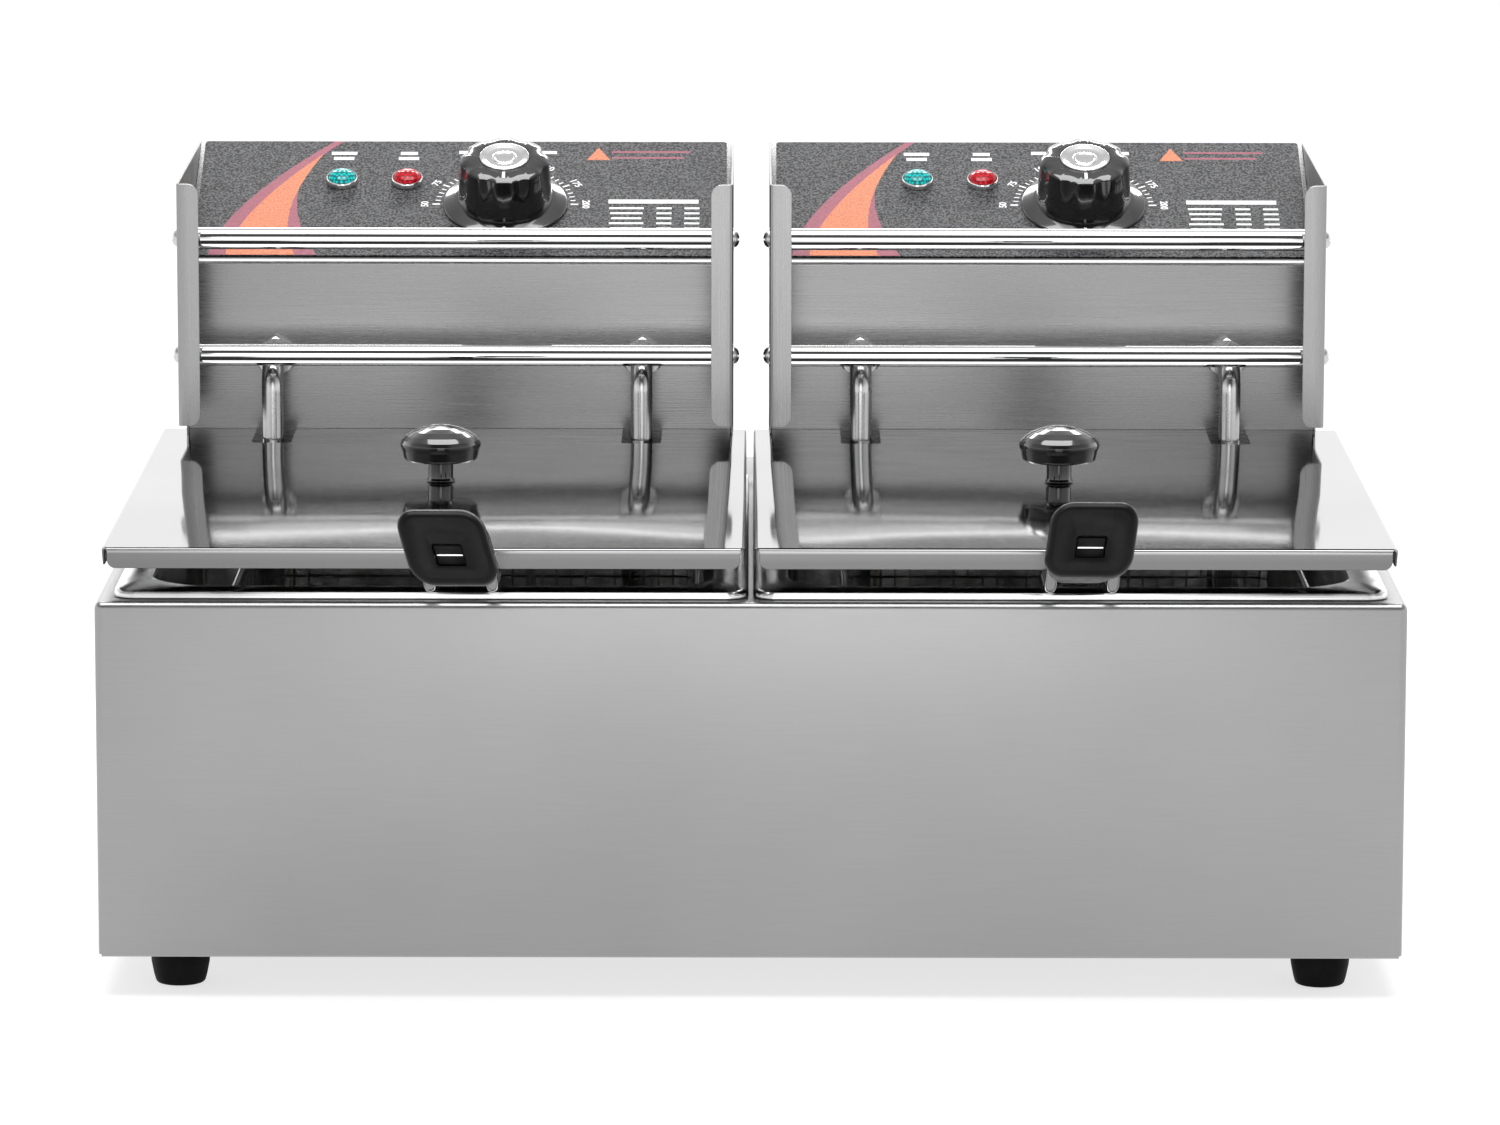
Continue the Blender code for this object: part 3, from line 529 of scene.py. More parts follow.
def turned(name, profile, steps, rounding=0.0):
    """A piece turned on Z from its (radius, height) outline in millimetres, with softened corners."""
    points = [Vector((r * MM, 0, z * MM)) for r, z in profile]
    obj = thread(name, points)
    if rounding:
        inner = [p for p in points[1:-1] if p.x > 0]
        pick(obj, "VERT", lambda v: any((v.co - p).length < 1e-6 for p in inner))
        bpy.ops.mesh.bevel(offset=rounding * MM, segments=3, affect="VERTICES", clamp_overlap=True)
    pick_all()
    bpy.ops.mesh.spin(steps=steps, angle=2 * math.pi, center=(0, 0, 0), axis=(0, 0, 1))
    close_up(0.000002)
    return obj


def set_in(obj, placing):
    """Moves a finished piece to its place and applies it."""
    alone(obj)
    obj.matrix_world = placing
    bake_place()


def copy_of(obj, name):
    twin = obj.copy()
    twin.data = obj.data.copy()
    twin.name = name
    bpy.context.scene.collection.objects.link(twin)
    return twin


def fit(obj, material, body, stands_for=(), angle=35):
    """Finishes a piece: its material, its smooth shading, and the body that it rides on."""
    alone(obj)
    bpy.ops.object.shade_smooth_by_angle(angle=math.radians(angle))
    obj.data.materials.clear()
    obj.data.materials.append(material)
    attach(obj, body)
    if stands_for:
        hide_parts(*stands_for)


def panel_place(side, x, up):
    """A place on the sloping control panel, its Z standing out of the slope."""
    origin = Matrix.Translation(spot(HEAD_X[side], FACE_Y, PANEL_Z))
    shift = Matrix.Translation(Vector((x, up, 0)) * MM)
    return origin @ Matrix.Rotation(PANEL_TILT, 4, "X") @ shift


# ------------------------------------------------------------ case, base and feet


def case_shell(steel):
    """Four walls and the deck in one folded sheet, with rounded cut-outs for the tanks."""
    obj = block("case", CASE_LOW, CASE_HIGH)
    pick(obj, "FACE", lambda f: f.normal.z < -0.9)
    bpy.ops.mesh.delete(type="ONLY_FACE")
    pick(obj, "EDGE", lambda e: along(e, 2))
    bevel(CASE_BEND + 0.2, 5)
    pick(obj, "EDGE", lambda e: mid(e).z > CASE_HIGH.z - MM * 0.01)
    bevel(CASE_BEND, 6)
    thicken(obj, SHEET)
    for side in SIDES:
        low = spot(TANK_X[side] - 120.5, 21, 150)
        high = spot(TANK_X[side] + 120.5, 319, 190)
        tool = block("cutter", low, high)
        pick(tool, "EDGE", lambda e: along(e, 2))
        bevel(26, 8)
        cut(obj, tool)
    soften(obj, 0.2, 2, 60)
    fit(obj, steel, "root", ["case_shell"])


def base_screws(zinc):
    """Domed screws that hold the base plate, seen just under the case."""
    head = turned("base_screw", [(0, -2.0), (1.6, -1.8), (2.8, -1.0), (3.1, 0), (0, 0)], 24)
    places = [(x, y) for y in (14, 386) for x in (-253, -202, 111, 202, 253)]
    for number, (x, y) in enumerate(places):
        screw = copy_of(head, f"base_screw_{number + 1}")
        set_in(screw, Matrix.Translation(spot(x, y, 16.95)))
        fit(screw, zinc, "root")
    bpy.data.objects.remove(head)


def feet(rubber):
    """Turned rubber feet with a dished screw hole below and a moulded ring at the top."""
    outline = [
        (0, 16.7), (13.2, 16.7), (13.2, 14.8), (12.7, 14.2), (12.4, 9.0), (11.3, 3.5), (10.5, 0.7), (9.7, 0),
        (4.2, 0), (3.6, 1.2), (3.2, 5.0), (0, 5.0),
    ]
    foot = turned("foot", outline, 48, 0.35)
    for row in ("front", "rear"):
        for side in SIDES:
            node = f"foot_{row}_{side}"
            low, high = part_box(node)
            one = copy_of(foot, f"rubber_{node}")
            centre = (low + high) / 2
            set_in(one, Matrix.Translation((centre.x, centre.y, low.z)))
            fit(one, rubber, "root", [node])
    bpy.data.objects.remove(foot)


# ------------------------------------------------------------ tanks


def tighten_corners(obj, centre, wide, deep):
    """Draws the rim's outer round corners out towards a tight bend."""
    for across, back in ((-1, -1), (1, -1), (1, 1), (-1, 1)):
        corner = Vector((centre.x + across * wide, centre.y + back * deep, 0))
        pick(obj, "VERT", lambda v: v.is_boundary
             and abs(v.co.x - corner.x) < 30 * MM and abs(v.co.y - corner.y) < 30 * MM)
        bpy.ops.transform.resize(value=(0.32, 0.32, 1), center_override=corner)


def oil_tank(side, steel):
    """A deep-drawn pan with round corners, a flat rim and a rolled edge."""
    x, wide, deep, middle_y = TANK_X[side], 118.5, 147, 170
    low = spot(x - wide, middle_y - deep, 32)
    high = spot(x + wide, middle_y + deep, 172.4)
    obj = block(f"{side}_pan", low, high)
    pick(obj, "FACE", lambda f: f.normal.z > 0.9)
    bpy.ops.mesh.delete(type="ONLY_FACE")
    pick(obj, "EDGE", lambda e: along(e, 2))
    bevel(25, 8)
    pick(obj, "EDGE", lambda e: mid(e).z < low.z + MM * 0.01)
    bevel(10, 5)
    centre = (low + high) / 2
    pick(obj, "EDGE", lambda e: e.is_boundary)
    flat = 11.2
    for out, rise in ((2, 0), (flat, 0.1), (1.3, -0.5), (0.4, -1.2), (0, -1.4)):
        move(z=rise)
        shape = bmesh.from_edit_mesh(obj.data)
        width = max(v.co.x for v in shape.verts) - centre.x
        depth = max(v.co.y for v in shape.verts) - centre.y
        grow = (1 + out * MM / width, 1 + out * MM / depth, 1)
        bpy.ops.transform.resize(value=grow, center_override=centre)
        if out == flat:
            tighten_corners(obj, centre, width + out * MM, depth + out * MM)
            pick(obj, "EDGE", lambda e: e.is_boundary)
    pick(obj, "EDGE", lambda e: fold(e) and abs(mid(e).z - high.z) < MM * 0.02
         and abs(mid(e).x - centre.x) < (wide + 0.1) * MM and abs(mid(e).y - centre.y) < (deep + 0.1) * MM)
    bevel(1.2, 3)
    thicken(obj, 0.8, 1.0)
    fit(obj, steel, "root", [f"{side}_oil_tank"], 50)


# ------------------------------------------------------------ lids


def lid(side, steel):
    """The loose cover: a bent sheet with open corners, and two notches for the element's legs."""
    x, half = LID_X[side], 134.9
    front, back, notch, deep = 2.1, 333.0, 9.0, 43.0
    top, relief, flap = LID_TOP - 0.1, 2.5, 8.8
    low = (top - 8) * MM
    points = [(x - half, front + relief), (x - half + relief, front), (x + half - relief, front)]
    points += [(x + half, front + relief), (x + half, back)]
    for leg in (LEG_OUT, -LEG_OUT):
        edge = HEAD_X[side] + leg
        points += [(edge + notch, back), (edge + notch, back - deep)]
        points += [(edge - notch, back - deep), (edge - notch, back)]
    points.append((x - half, back))
    obj = thread(f"{side}_cover", [spot(px, py, top) for px, py in points], ring=True)
    close_face()
    pick(obj, "VERT", lambda v: abs(v.co.y - spot(0, back - deep, 0).y) < MM * 0.1)
    bevel(3, 4, "VERTICES")
    edge_y = spot(0, front, 0).y
    pick(obj, "EDGE", lambda e: along(e, 0) and abs(mid(e).y - edge_y) < MM * 0.1)
    move(z=-flap)
    for sign in (-1, 1):
        wall = spot(x + sign * half, 0, 0).x
        pick(obj, "EDGE", lambda e: along(e, 1) and abs(mid(e).x - wall) < MM * 0.1)
        move(z=-flap)
        for rear, slant in ((False, 7), (True, -8)):
            pick(obj, "VERT", lambda v: v.co.z < low and abs(v.co.x - wall) < MM * 0.1
                 and (v.co.y > CASE_LOW.y + 0.15) == rear)
            bpy.ops.transform.translate(value=(0, slant * MM, 0))
    pick(obj, "VERT", lambda v: v.co.z < low and abs(v.co.y - edge_y) < MM * 0.1)
    bevel(3.5, 5, "VERTICES")
    pick(obj, "EDGE", lambda e: fold(e) and abs(mid(e).z - top * MM) < MM * 0.05)
    bevel(1.5, 5)
    thicken(obj, 0.9)
    soften(obj, 0.12, 1, 60)
    fit(obj, steel, f"{side}_lid_cover", [f"{side}_lid"], 25)


def lid_knob(side, black, zinc):
    """The round knob, its stem flared at the foot, and the screw under the lid."""
    x = LID_X[side]
    outline = [
        (0, 25.3), (4, 25.0), (8, 24.1), (12, 22.6), (15.2, 20.7), (17.2, 18.8), (17.9, 17.2), (17.8, 16.0),
        (17.0, 14.2), (16.2, 10.4), (15.2, 9.6), (7.2, 9.4), (6.0, 9.0), (5.5, 8.2), (5.5, 1.6), (6.3, 0.6),
        (6.3, 0.3), (0, 0.3),
    ]
    knob = turned(f"{side}_cover_knob", outline, 64, 0.25)
    set_in(knob, Matrix.Translation(spot(x, LID_KNOB_Y, LID_TOP)))
    fit(knob, black, f"{side}_lid_cover", [f"{side}_lid_knob"], 60)
    head = [(0, -1.3), (4.6, -1.3), (4.5, -2.0), (3.6, -3.2), (1.5, -3.8), (0, -3.9)]
    screw = turned(f"{side}_cover_screw", head, 32, 0.1)
    set_in(screw, Matrix.Translation(spot(x, LID_KNOB_Y, LID_TOP)))
    fit(screw, zinc, f"{side}_lid_cover", [f"{side}_lid_knob_screw"])


# ------------------------------------------------------------ control heads


def front_panel(side, steel):
    """The head's face and slope, folded from one sheet."""
    x = HEAD_X[side] - HEAD_HALF
    obj = thread(f"{side}_head_face", [spot(x, FACE_Y, HEAD_LOW - 0.1), spot(x, FACE_Y, PANEL_Z)])
    pick(obj, "VERT", lambda v: v.co.z > (PANEL_Z - 1) * MM)
    move(y=PANEL_LENGTH * math.cos(PANEL_TILT), z=PANEL_LENGTH * math.sin(PANEL_TILT))
    pick_all()
    move(x=2 * HEAD_HALF)
    pick(obj, "EDGE", lambda e: along(e, 0) and fold(e))
    bevel(2.2, 6)
    pick(obj, "EDGE", lambda e: along(e, 0) and e.is_boundary and mid(e).z > 200 * MM)
    move(z=-6)
    pick(obj, "EDGE", lambda e: along(e, 0) and fold(e) and mid(e).z > 312 * MM)
    bevel(1.2, 4)
    face_outwards(obj, Vector((0, -1, 1)))
    thicken(obj, SHEET)
    soften(obj, 0.12, 1, 60)
    fit(obj, steel, "root", [f"{side}_head_front_panel"], 25)


def face_outwards(obj, direction):
    """Turns an open sheet so that its outer side faces the direction."""
    edit(obj)
    pick_all()
    bpy.ops.mesh.normals_make_consistent(inside=False)
    shape = bmesh.from_edit_mesh(obj.data)
    if sum(f.normal.dot(direction) * f.calc_area() for f in shape.faces) < 0:
        bpy.ops.mesh.flip_normals()
    bpy.ops.object.mode_set(mode="OBJECT")


def head_side(side, hand, steel):
    """A cheek plate with its ear folded inwards at the front."""
    sign = -1 if hand == "left" else 1
    x = HEAD_X[side] + sign * CHEEK_OUT
    outline = [
        (CHEEK_FRONT, CHEEK_TOP), (HEAD_REAR - 1.1, CHEEK_TOP + 3), (HEAD_REAR, CHEEK_TOP + 2),
        (HEAD_REAR, HEAD_LOW), (FACE_Y, HEAD_LOW),
        (FACE_Y, CHEEK_LOW - 6), (FACE_Y - 6, CHEEK_LOW), (CHEEK_FRONT, CHEEK_LOW),
    ]
    obj = thread(f"{side}_head_{hand}_cheek", [spot(x, y, z) for y, z in outline], ring=True)
    close_face()
    front = spot(0, CHEEK_FRONT, 0).y
    pick(obj, "EDGE", lambda e: along(e, 2) and abs(mid(e).y - front) < MM * 0.1)
    move(x=-sign * 10)
    pick(obj, "VERT", lambda v: abs(v.co.x - x * MM) > MM * 9)
    bevel(5, 6, "VERTICES")
    pick(obj, "EDGE", lambda e: fold(e))
    bevel(1.6, 5)
    face_outwards(obj, Vector((sign, -0.5, 0)))
    thicken(obj, SHEET)
    soften(obj, 0.15, 1, 60)
    fit(obj, steel, "root", [f"{side}_head_{hand}_side"], 25)


def rear_cover(side, steel, zinc):
    """The back and floor of the head with vent slots, and the screws that hold it."""
    x = HEAD_X[side]
    path = [(336.6, HEAD_LOW), (HEAD_REAR, HEAD_LOW), (HEAD_REAR, 313)]
    obj = thread(f"{side}_head_back", [spot(x - HEAD_HALF, y, z) for y, z in path])
    pick_all()
    move(x=2 * HEAD_HALF)
    pick(obj, "EDGE", lambda e: along(e, 0) and fold(e))
    bevel(1.8, 5)
    face_outwards(obj, Vector((0, 1, -1)))
    thicken(obj, SHEET)
    for row in range(4):
        tool = block("slot", spot(x + 15, 428, 252 + row * 11), spot(x + 75, 436, 255 + row * 11))
        pick(tool, "EDGE", lambda e: along(e, 1))
        bevel(1.45, 5)
        cut(obj, tool)
    soften(obj, 0.12, 1, 60)
    fit(obj, steel, "root", [f"{side}_head_rear_cover"], 25)
    head = turned("cover_screw", [(0, 2.1), (1.6, 1.9), (3.0, 1.1), (3.4, 0), (0, 0)], 24)
    turn = Matrix.Rotation(-math.pi / 2, 4, "X")
    for number, (dx, z) in enumerate([(-112, 298), (112, 298), (-112, 184), (112, 184)]):
        screw = copy_of(head, f"{side}_cover_screw_{number + 1}")
        set_in(screw, Matrix.Translation(spot(x + dx, HEAD_REAR + 0.05, z)) @ turn)
        fit(screw, zinc, "root")
    bpy.data.objects.remove(head)


def control_label(side, grain):
    """The film on the slope, cut round at its corners."""
    low, high = (-123.0, 3.4, 0.3), (123.0, 103.8, LABEL_TOP)
    obj = small_block(f"{side}_panel_film", low, high)
    pick(obj, "EDGE", lambda e: along(e, 2))
    bevel(1.5, 4)
    set_in(obj, panel_place(side, 0, 0))
    fit(obj, grain, "root", [f"{side}_control_label"])


def printed(side, name, outline, height=0.04):
    """A flat printed shape on the label, a hair thick."""
    level = LABEL_TOP + 0.01
    obj = thread(f"{side}_{name}", [Vector((x, y, level)) * MM for x, y in outline], ring=True)
    close_face()
    pick_all()
    move(z=height)
    close_up()
    return obj


def curve_between(points, steps):
    """Points on a smooth curve through three chosen ones."""
    a, b, c = (Vector(p) for p in points)
    through = b * 2 - (a + c) / 2
    parts = [i / steps for i in range(steps + 1)]
    return [a * (1 - t) ** 2 + through * 2 * t * (1 - t) + c * t * t for t in parts]


def label_print(side, inks):
    """The sweeping stripe, caption bars, caution mark, table and dial scale."""
    made = []
    outer_left = curve_between([(-116, 3.6), (-100.5, 50), (-62, 103.6)], 14)
    outer_right = curve_between([(-57.5, 103.6), (-77.0, 60), (-66, 3.6)], 14)
    inner_left = curve_between([(-108, 3.6), (-96.5, 44), (-66.5, 93)], 10)
    inner_right = curve_between([(-66.5, 93), (-80.0, 44), (-76, 3.6)], 10)
    made.append((printed(side, "stripe_pink", outer_left + outer_right), "pink"))
    core = printed(side, "stripe_orange", inner_left + inner_right[1:], 0.07)
    made.append((core, "orange"))
    bars = [(-57, 93.0, 12.0, 2.6), (-57, 88.4, 9.6, 2.6), (-26.5, 93.0, 8.0, 2.6), (-26.5, 88.4, 9.6, 2.6)]
    bars += [(0.5, 94.0, 7.0, 2.6), (39.5, 94.0, 7.0, 2.6), (89, 50.5, 42.0, 3.4)]
    for row in range(5):
        up = 44.6 - row * 4.4
        bars += [(76.5, up, 16.0 - row % 3, 1.5), (94, up, 7.0, 1.5), (107, up, 7.0, 1.5)]
    parts = [bar(side, f"caption_{n}", *values) for n, values in enumerate(bars)]
    made.append((joined(parts, f"{side}_captions"), "white"))
    notes = [bar(side, f"note_{n}", 87.5 + n * -1.5, 94.6 - n * 5.2, 37 - n * 3, 1.7) for n in range(2)]
    made.append((joined(notes, f"{side}_note_lines"), "pink"))
    made.append((printed(side, "caution_mark", [(57.2, 87.4), (68.2, 87.4), (62.7, 98.4)]), "orange"))
    ticks = []
    for step in range(31):
        angle = math.radians(180 - step * 6)
        long = step % 5 == 0
        inner, outer = 30.4, 34.0 if long else 32.8
        ticks.append(tick(side, f"tick_{step}", angle, inner, outer, 1.0 if long else 0.65))
    made.append((joined(ticks, f"{side}_dial_ticks"), "white"))
    numbers = []
    for step, value in enumerate((50, 75, 100, 125, 150, 175, 200)):
        numbers.append(numeral(side, value, math.radians(180 - step * 30), 37.4))
    made.append((joined(numbers, f"{side}_dial_numbers"), "white"))
    for obj, colour in made:
        set_in(obj, panel_place(side, 0, 0))
        fit(obj, inks[colour], "root")


def bar(side, name, x, up, width, height):
    w, h = width / 2, height / 2
    return printed(side, name, [(x - w, up - h), (x + w, up - h), (x + w, up + h), (x - w, up + h)])


def tick(side, name, angle, inner, outer, width):
    out = Vector((math.cos(angle), math.sin(angle)))
    across = Vector((-out.y, out.x)) * (width / 2)
    centre = Vector(KNOB_SPOT)
    corners = [out * inner - across, out * outer - across, out * outer + across, out * inner + across]
    return printed(side, name, [tuple(centre + c) for c in corners])


def numeral(side, value, angle, radius):
    """A number of the dial, standing square to its tick."""
    deselect()
    centre = Vector(KNOB_SPOT) + Vector((math.cos(angle), math.sin(angle))) * radius
    bpy.ops.object.text_add(location=(0, 0, 0))
    obj = bpy.context.object
    obj.data.body = str(value)
    obj.data.align_x = "CENTER"
    obj.data.align_y = "CENTER"
    obj.data.size = 4.8 * MM
    obj.data.offset = 0.0001
    obj.data.extrude = 0.02 * MM
    obj.data.resolution_u = 3
    bpy.ops.object.convert(target="MESH")
    obj = bpy.context.object
    obj.name = f"{side}_number_{value}"
    turn = Matrix.Rotation(angle - math.pi / 2, 4, "Z")
    set_in(obj, Matrix.Translation(Vector((centre.x, centre.y, LABEL_TOP + 0.03)) * MM) @ turn)
    return obj


def joined(parts, name):
    """Several small prints as one piece."""
    deselect()
    for part in parts:
        part.select_set(True)
    bpy.context.view_layer.objects.active = parts[0]
    bpy.ops.object.join()
    obj = bpy.context.object
    obj.name = name
    edit(obj)
    close_up(0.0000005)
    return obj


def hanging_rods(side, bright, zinc):
    """Two bright bars between the cheeks, each held by a domed screw at both ends."""
    x = HEAD_X[side]
    for name, z in zip(("upper", "lower"), ROD_HEIGHTS):
        ends = [spot(x + sign * (CHEEK_OUT - 1.1), ROD_Y, z) for sign in (-1, 1)]
        obj = wire(f"{side}_bar_{name}", ends, 0, 5, 12)
        fit(obj, bright, "root", [f"{side}_hanging_rod_{name}"])
    outline = [(0, 2.6), (1.2, 2.5), (2.6, 2.0), (3.6, 1.0), (3.9, 0), (5.2, 0), (5.2, -0.4), (0, -0.4)]
    head = turned("bar_screw", outline, 32)
    for sign in (-1, 1):
        turn = Matrix.Rotation(sign * math.pi / 2, 4, "Y")
        for name, z in zip(("upper", "lower"), ROD_HEIGHTS):
            hand = "left" if sign < 0 else "right"
            screw = copy_of(head, f"{side}_bar_screw_{name}_{hand}")
            for wide, deep in ((3, 0.45), (0.45, 3)):
                cut(screw, small_block("slot", (-wide, -deep, 1.7), (wide, deep, 4)))
            set_in(screw, Matrix.Translation(spot(x + sign * (CHEEK_OUT + 0.3), ROD_Y, z)) @ turn)
            fit(screw, zinc, "root")
    bpy.data.objects.remove(head)


def heating_element(side, tube, zinc):
    """The bent tube and the chamfered nuts that hold its ends in the face."""
    x = HEAD_X[side]
    step = LEG_OUT * 2 / 3
    front, rear, low = 75 - step / 2, 250 + step / 2, 46
    half = step / 2 - 0.02
    inner = LEG_OUT - step
    corners = [(-LEG_OUT, front), (-inner, front), (-inner, rear)]
    corners += [(-dx, y) for dx, y in corners[::-1]]
    leg = [(FACE_Y + 17.5, LEG_Z), (LEG_Y, LEG_Z), (LEG_Y, low)]
    points = [spot(x - LEG_OUT, y, z) for y, z in leg] + [spot(x + dx, y, low) for dx, y in corners]
    points += [spot(x + LEG_OUT, y, z) for y, z in leg[::-1]]
    obj = thread(f"{side}_element_tube", points)
    sharp = [p for p in points if abs(p.y - spot(0, LEG_Y, 0).y) < MM]
    pick(obj, "VERT", lambda v: any((v.co - p).length < 1e-6 for p in sharp))
    bevel(13, 8, "VERTICES")
    loops = points[3:-3]
    pick(obj, "VERT", lambda v: any((v.co - p).length < 1e-6 for p in loops))
    bevel(half, 8, "VERTICES")
    obj = rod_from(obj, 5, 6)
    fit(obj, tube, "root", [f"{side}_heating_element"], 60)
    for hand, sign in (("left", -1), ("right", 1)):
        nut = drum(f"{side}_fitting_nut_{hand}", 6, 9.5, 6, 3)
        cone = turned("cone", [(0, 9), (4.5, 9), (8.6, 6), (10.6, 4.4), (10.6, -1), (0, -1)], 48)
        cut(nut, cone, "INTERSECT")
        bore = turned("bore", [(0, 8), (5.3, 8), (5.3, -2), (0, -2)], 32)
        cut(nut, bore)
        turn = Matrix.Rotation(math.pi / 2, 4, "X")
        set_in(nut, Matrix.Translation(spot(x + sign * LEG_OUT, FACE_Y - 0.3, LEG_Z)) @ turn)
        fit(nut, zinc, "root", [f"{side}_element_nut_{hand}"], 20)


def thermostat_knob(side, black, trim, white):
    """The scalloped knob on its wide skirt, the dished cap in its top, and two white marks."""
    body = f"{side}_knob_turning"
    skirt = turned(
        f"{side}_dial_skirt",
        [(0, 4.4), (20.5, 4.4), (23.5, 3.9), (28.6, 2.3), (29, 1.8), (29, 1.2), (27, 1.2), (26.5, 1.6),
         (3.3, 1.6), (3.3, 1.2), (0, 1.2)], 96, 0.3,
    )
    facets, top = 128, (0, 0, 25.8 * MM)
    grip = drum(f"{side}_dial_grip", facets, 22.2, 22, 14.8)
    edit(grip)
    pick(grip, "FACE", lambda f: f.normal.z > 0.9)
    bpy.ops.transform.resize(value=(0.925, 0.925, 1), center_override=top)
    for step, squeeze in enumerate((0.935, 0.940, 0.954, 0.972, 0.989)):
        for sign in ((-1, 1) if step else (1,)):
            valleys = [math.radians(45 * n + 22.5 + sign * step * 360 / facets) for n in range(8)]
            pick(grip, "VERT", lambda v: v.co.z > 20 * MM and any(
                abs(math.remainder(math.atan2(v.co.y, v.co.x) - a, 2 * math.pi)) < 0.02 for a in valleys))
            bpy.ops.transform.resize(value=(squeeze, squeeze, 1), center_override=top)
    pick(grip, "FACE", lambda f: f.normal.z > 0.9)
    bpy.ops.transform.translate(value=(0, 0, -1.3 * MM))
    for inset, rise in ((1.6, 1.1), (2.6, 0.7)):
        bpy.ops.mesh.inset(thickness=inset * MM)
        bpy.ops.transform.translate(value=(0, 0, rise * MM))
    bpy.ops.mesh.inset(thickness=2.6 * MM)
    bpy.ops.transform.tosphere(value=1.0)
    ring = max(v.co.x for v in bmesh.from_edit_mesh(grip.data).verts if v.select)
    shrink = 11.7 * MM / ring
    bpy.ops.transform.resize(value=(shrink, shrink, 1), center_override=(0, 0, 27 * MM))
    move(z=-2.2)
    bpy.ops.object.mode_set(mode="OBJECT")
    modify(grip, "BEVEL", width=0.7 * MM, segments=4, limit_method="ANGLE", angle_limit=math.radians(28))
    place = panel_place(side, *KNOB_SPOT)
    for obj in (skirt, grip):
        set_in(obj, place)
    fit(skirt, black, body, [f"{side}_thermostat_knob"], 40)
    fit(grip, black, body, [], 30)
    cap = turned(
        f"{side}_dial_cap",
        [(0, 26.35), (4.2, 26.35), (4.7, 26.7), (5.3, 26.7), (5.8, 26.3), (8.6, 26.5), (11.0, 27.25),
         (11.4, 27.2), (11.5, 26.8), (11.5, 24.7), (0, 24.7)], 96, 0.12,
    )
    set_in(cap, place)
    fit(cap, trim, body, [f"{side}_knob_cap"], 40)
    pointer = small_block(f"{side}_dial_pointer", (-0.75, -17.8, 25.6), (0.75, -12.6, 26.4))
    mark = small_block(f"{side}_skirt_mark", (-0.7, -27.4, 2.75), (0.7, -24.2, 3.75))
    for obj in (pointer, mark):
        soften(obj, 0.2, 2)
        set_in(obj, place)
        fit(obj, white, body)


def indicator_lights(side, trim, colours):
    """A domed lens with a diamond pattern in a bright bezel, twice."""
    for name, (x, up) in LIGHT_SPOTS.items():
        ring = turned(
            f"{side}_{name}_ring",
            [(7.0, 3.6), (7.3, 3.3), (7.5, 2.6), (7.5, 1.15), (6.0, 1.15), (6.0, 2.4), (6.7, 2.9), (6.7, 3.4),
             (7.0, 3.6)], 48,
        )
        set_in(ring, panel_place(side, x, up))
        fit(ring, trim, "root", [f"{side}_{name}_light_bezel"], 30)
        dome = turned(
            f"{side}_{name}_dome",
            [(0, 6.1), (2.0, 6.0), (3.9, 5.6), (5.3, 4.9), (6.2, 4.0), (6.55, 3.1), (5.8, 2.7), (5.0, 2.0),
             (5.0, -11), (0, -11)], 48,
        )
        set_in(dome, panel_place(side, x, up))
        fit(dome, colours[name], "root", [f"{side}_{name}_light_lens"], 60)


def cable_gland(side, black):
    """The cord's gland: a hexagon foot and a ribbed dome nut, with no cord in it."""
    low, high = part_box(f"{side}_cable_gland")
    centre = Vector(((low.x + high.x) / 2, spot(0, HEAD_REAR + 0.1, 0).y, (low.z + high.z) / 2))
    place = Matrix.Translation(centre) @ Matrix.Rotation(-math.pi / 2, 4, "X")
    shell = turned(
        f"{side}_gland_nut",
        [(4.3, 15.3), (6.6, 15.1), (8.4, 13.6), (9.2, 11.0), (9.4, 5.2), (8.0, 5.2), (8.0, -9), (4.3, -9),
         (4.3, 15.3)], 48,
    )
    foot = drum(f"{side}_gland_foot", 6, 11.4, 4.6, 2.7)
    bore = turned("bore", [(0, 8), (8.1, 8), (8.1, -2), (0, -2)], 32)
    cut(foot, bore)
    soften(foot, 0.4, 2, 50)
    for number in range(12):
        rib = small_block("rib", (8.9, -0.6, 5.3), (9.9, 0.6, 11.5))
        bpy.ops.object.mode_set(mode="OBJECT")
        set_in(rib, Matrix.Rotation(number * math.pi / 6, 4, "Z"))
        cut(shell, rib, "UNION")
    for obj, nodes in ((shell, [f"{side}_cable_gland"]), (foot, [])):
        set_in(obj, place)
        fit(obj, black, "root", nodes, 35)


# ------------------------------------------------------------ baskets


def row_of(obj, count, step):
    """Repeats a piece in its own mesh, a step apart in millimetres."""
    modify(obj, "ARRAY", count=count, use_relative_offset=False, use_constant_offset=True,
           constant_offset_displace=Vector(step) * MM)


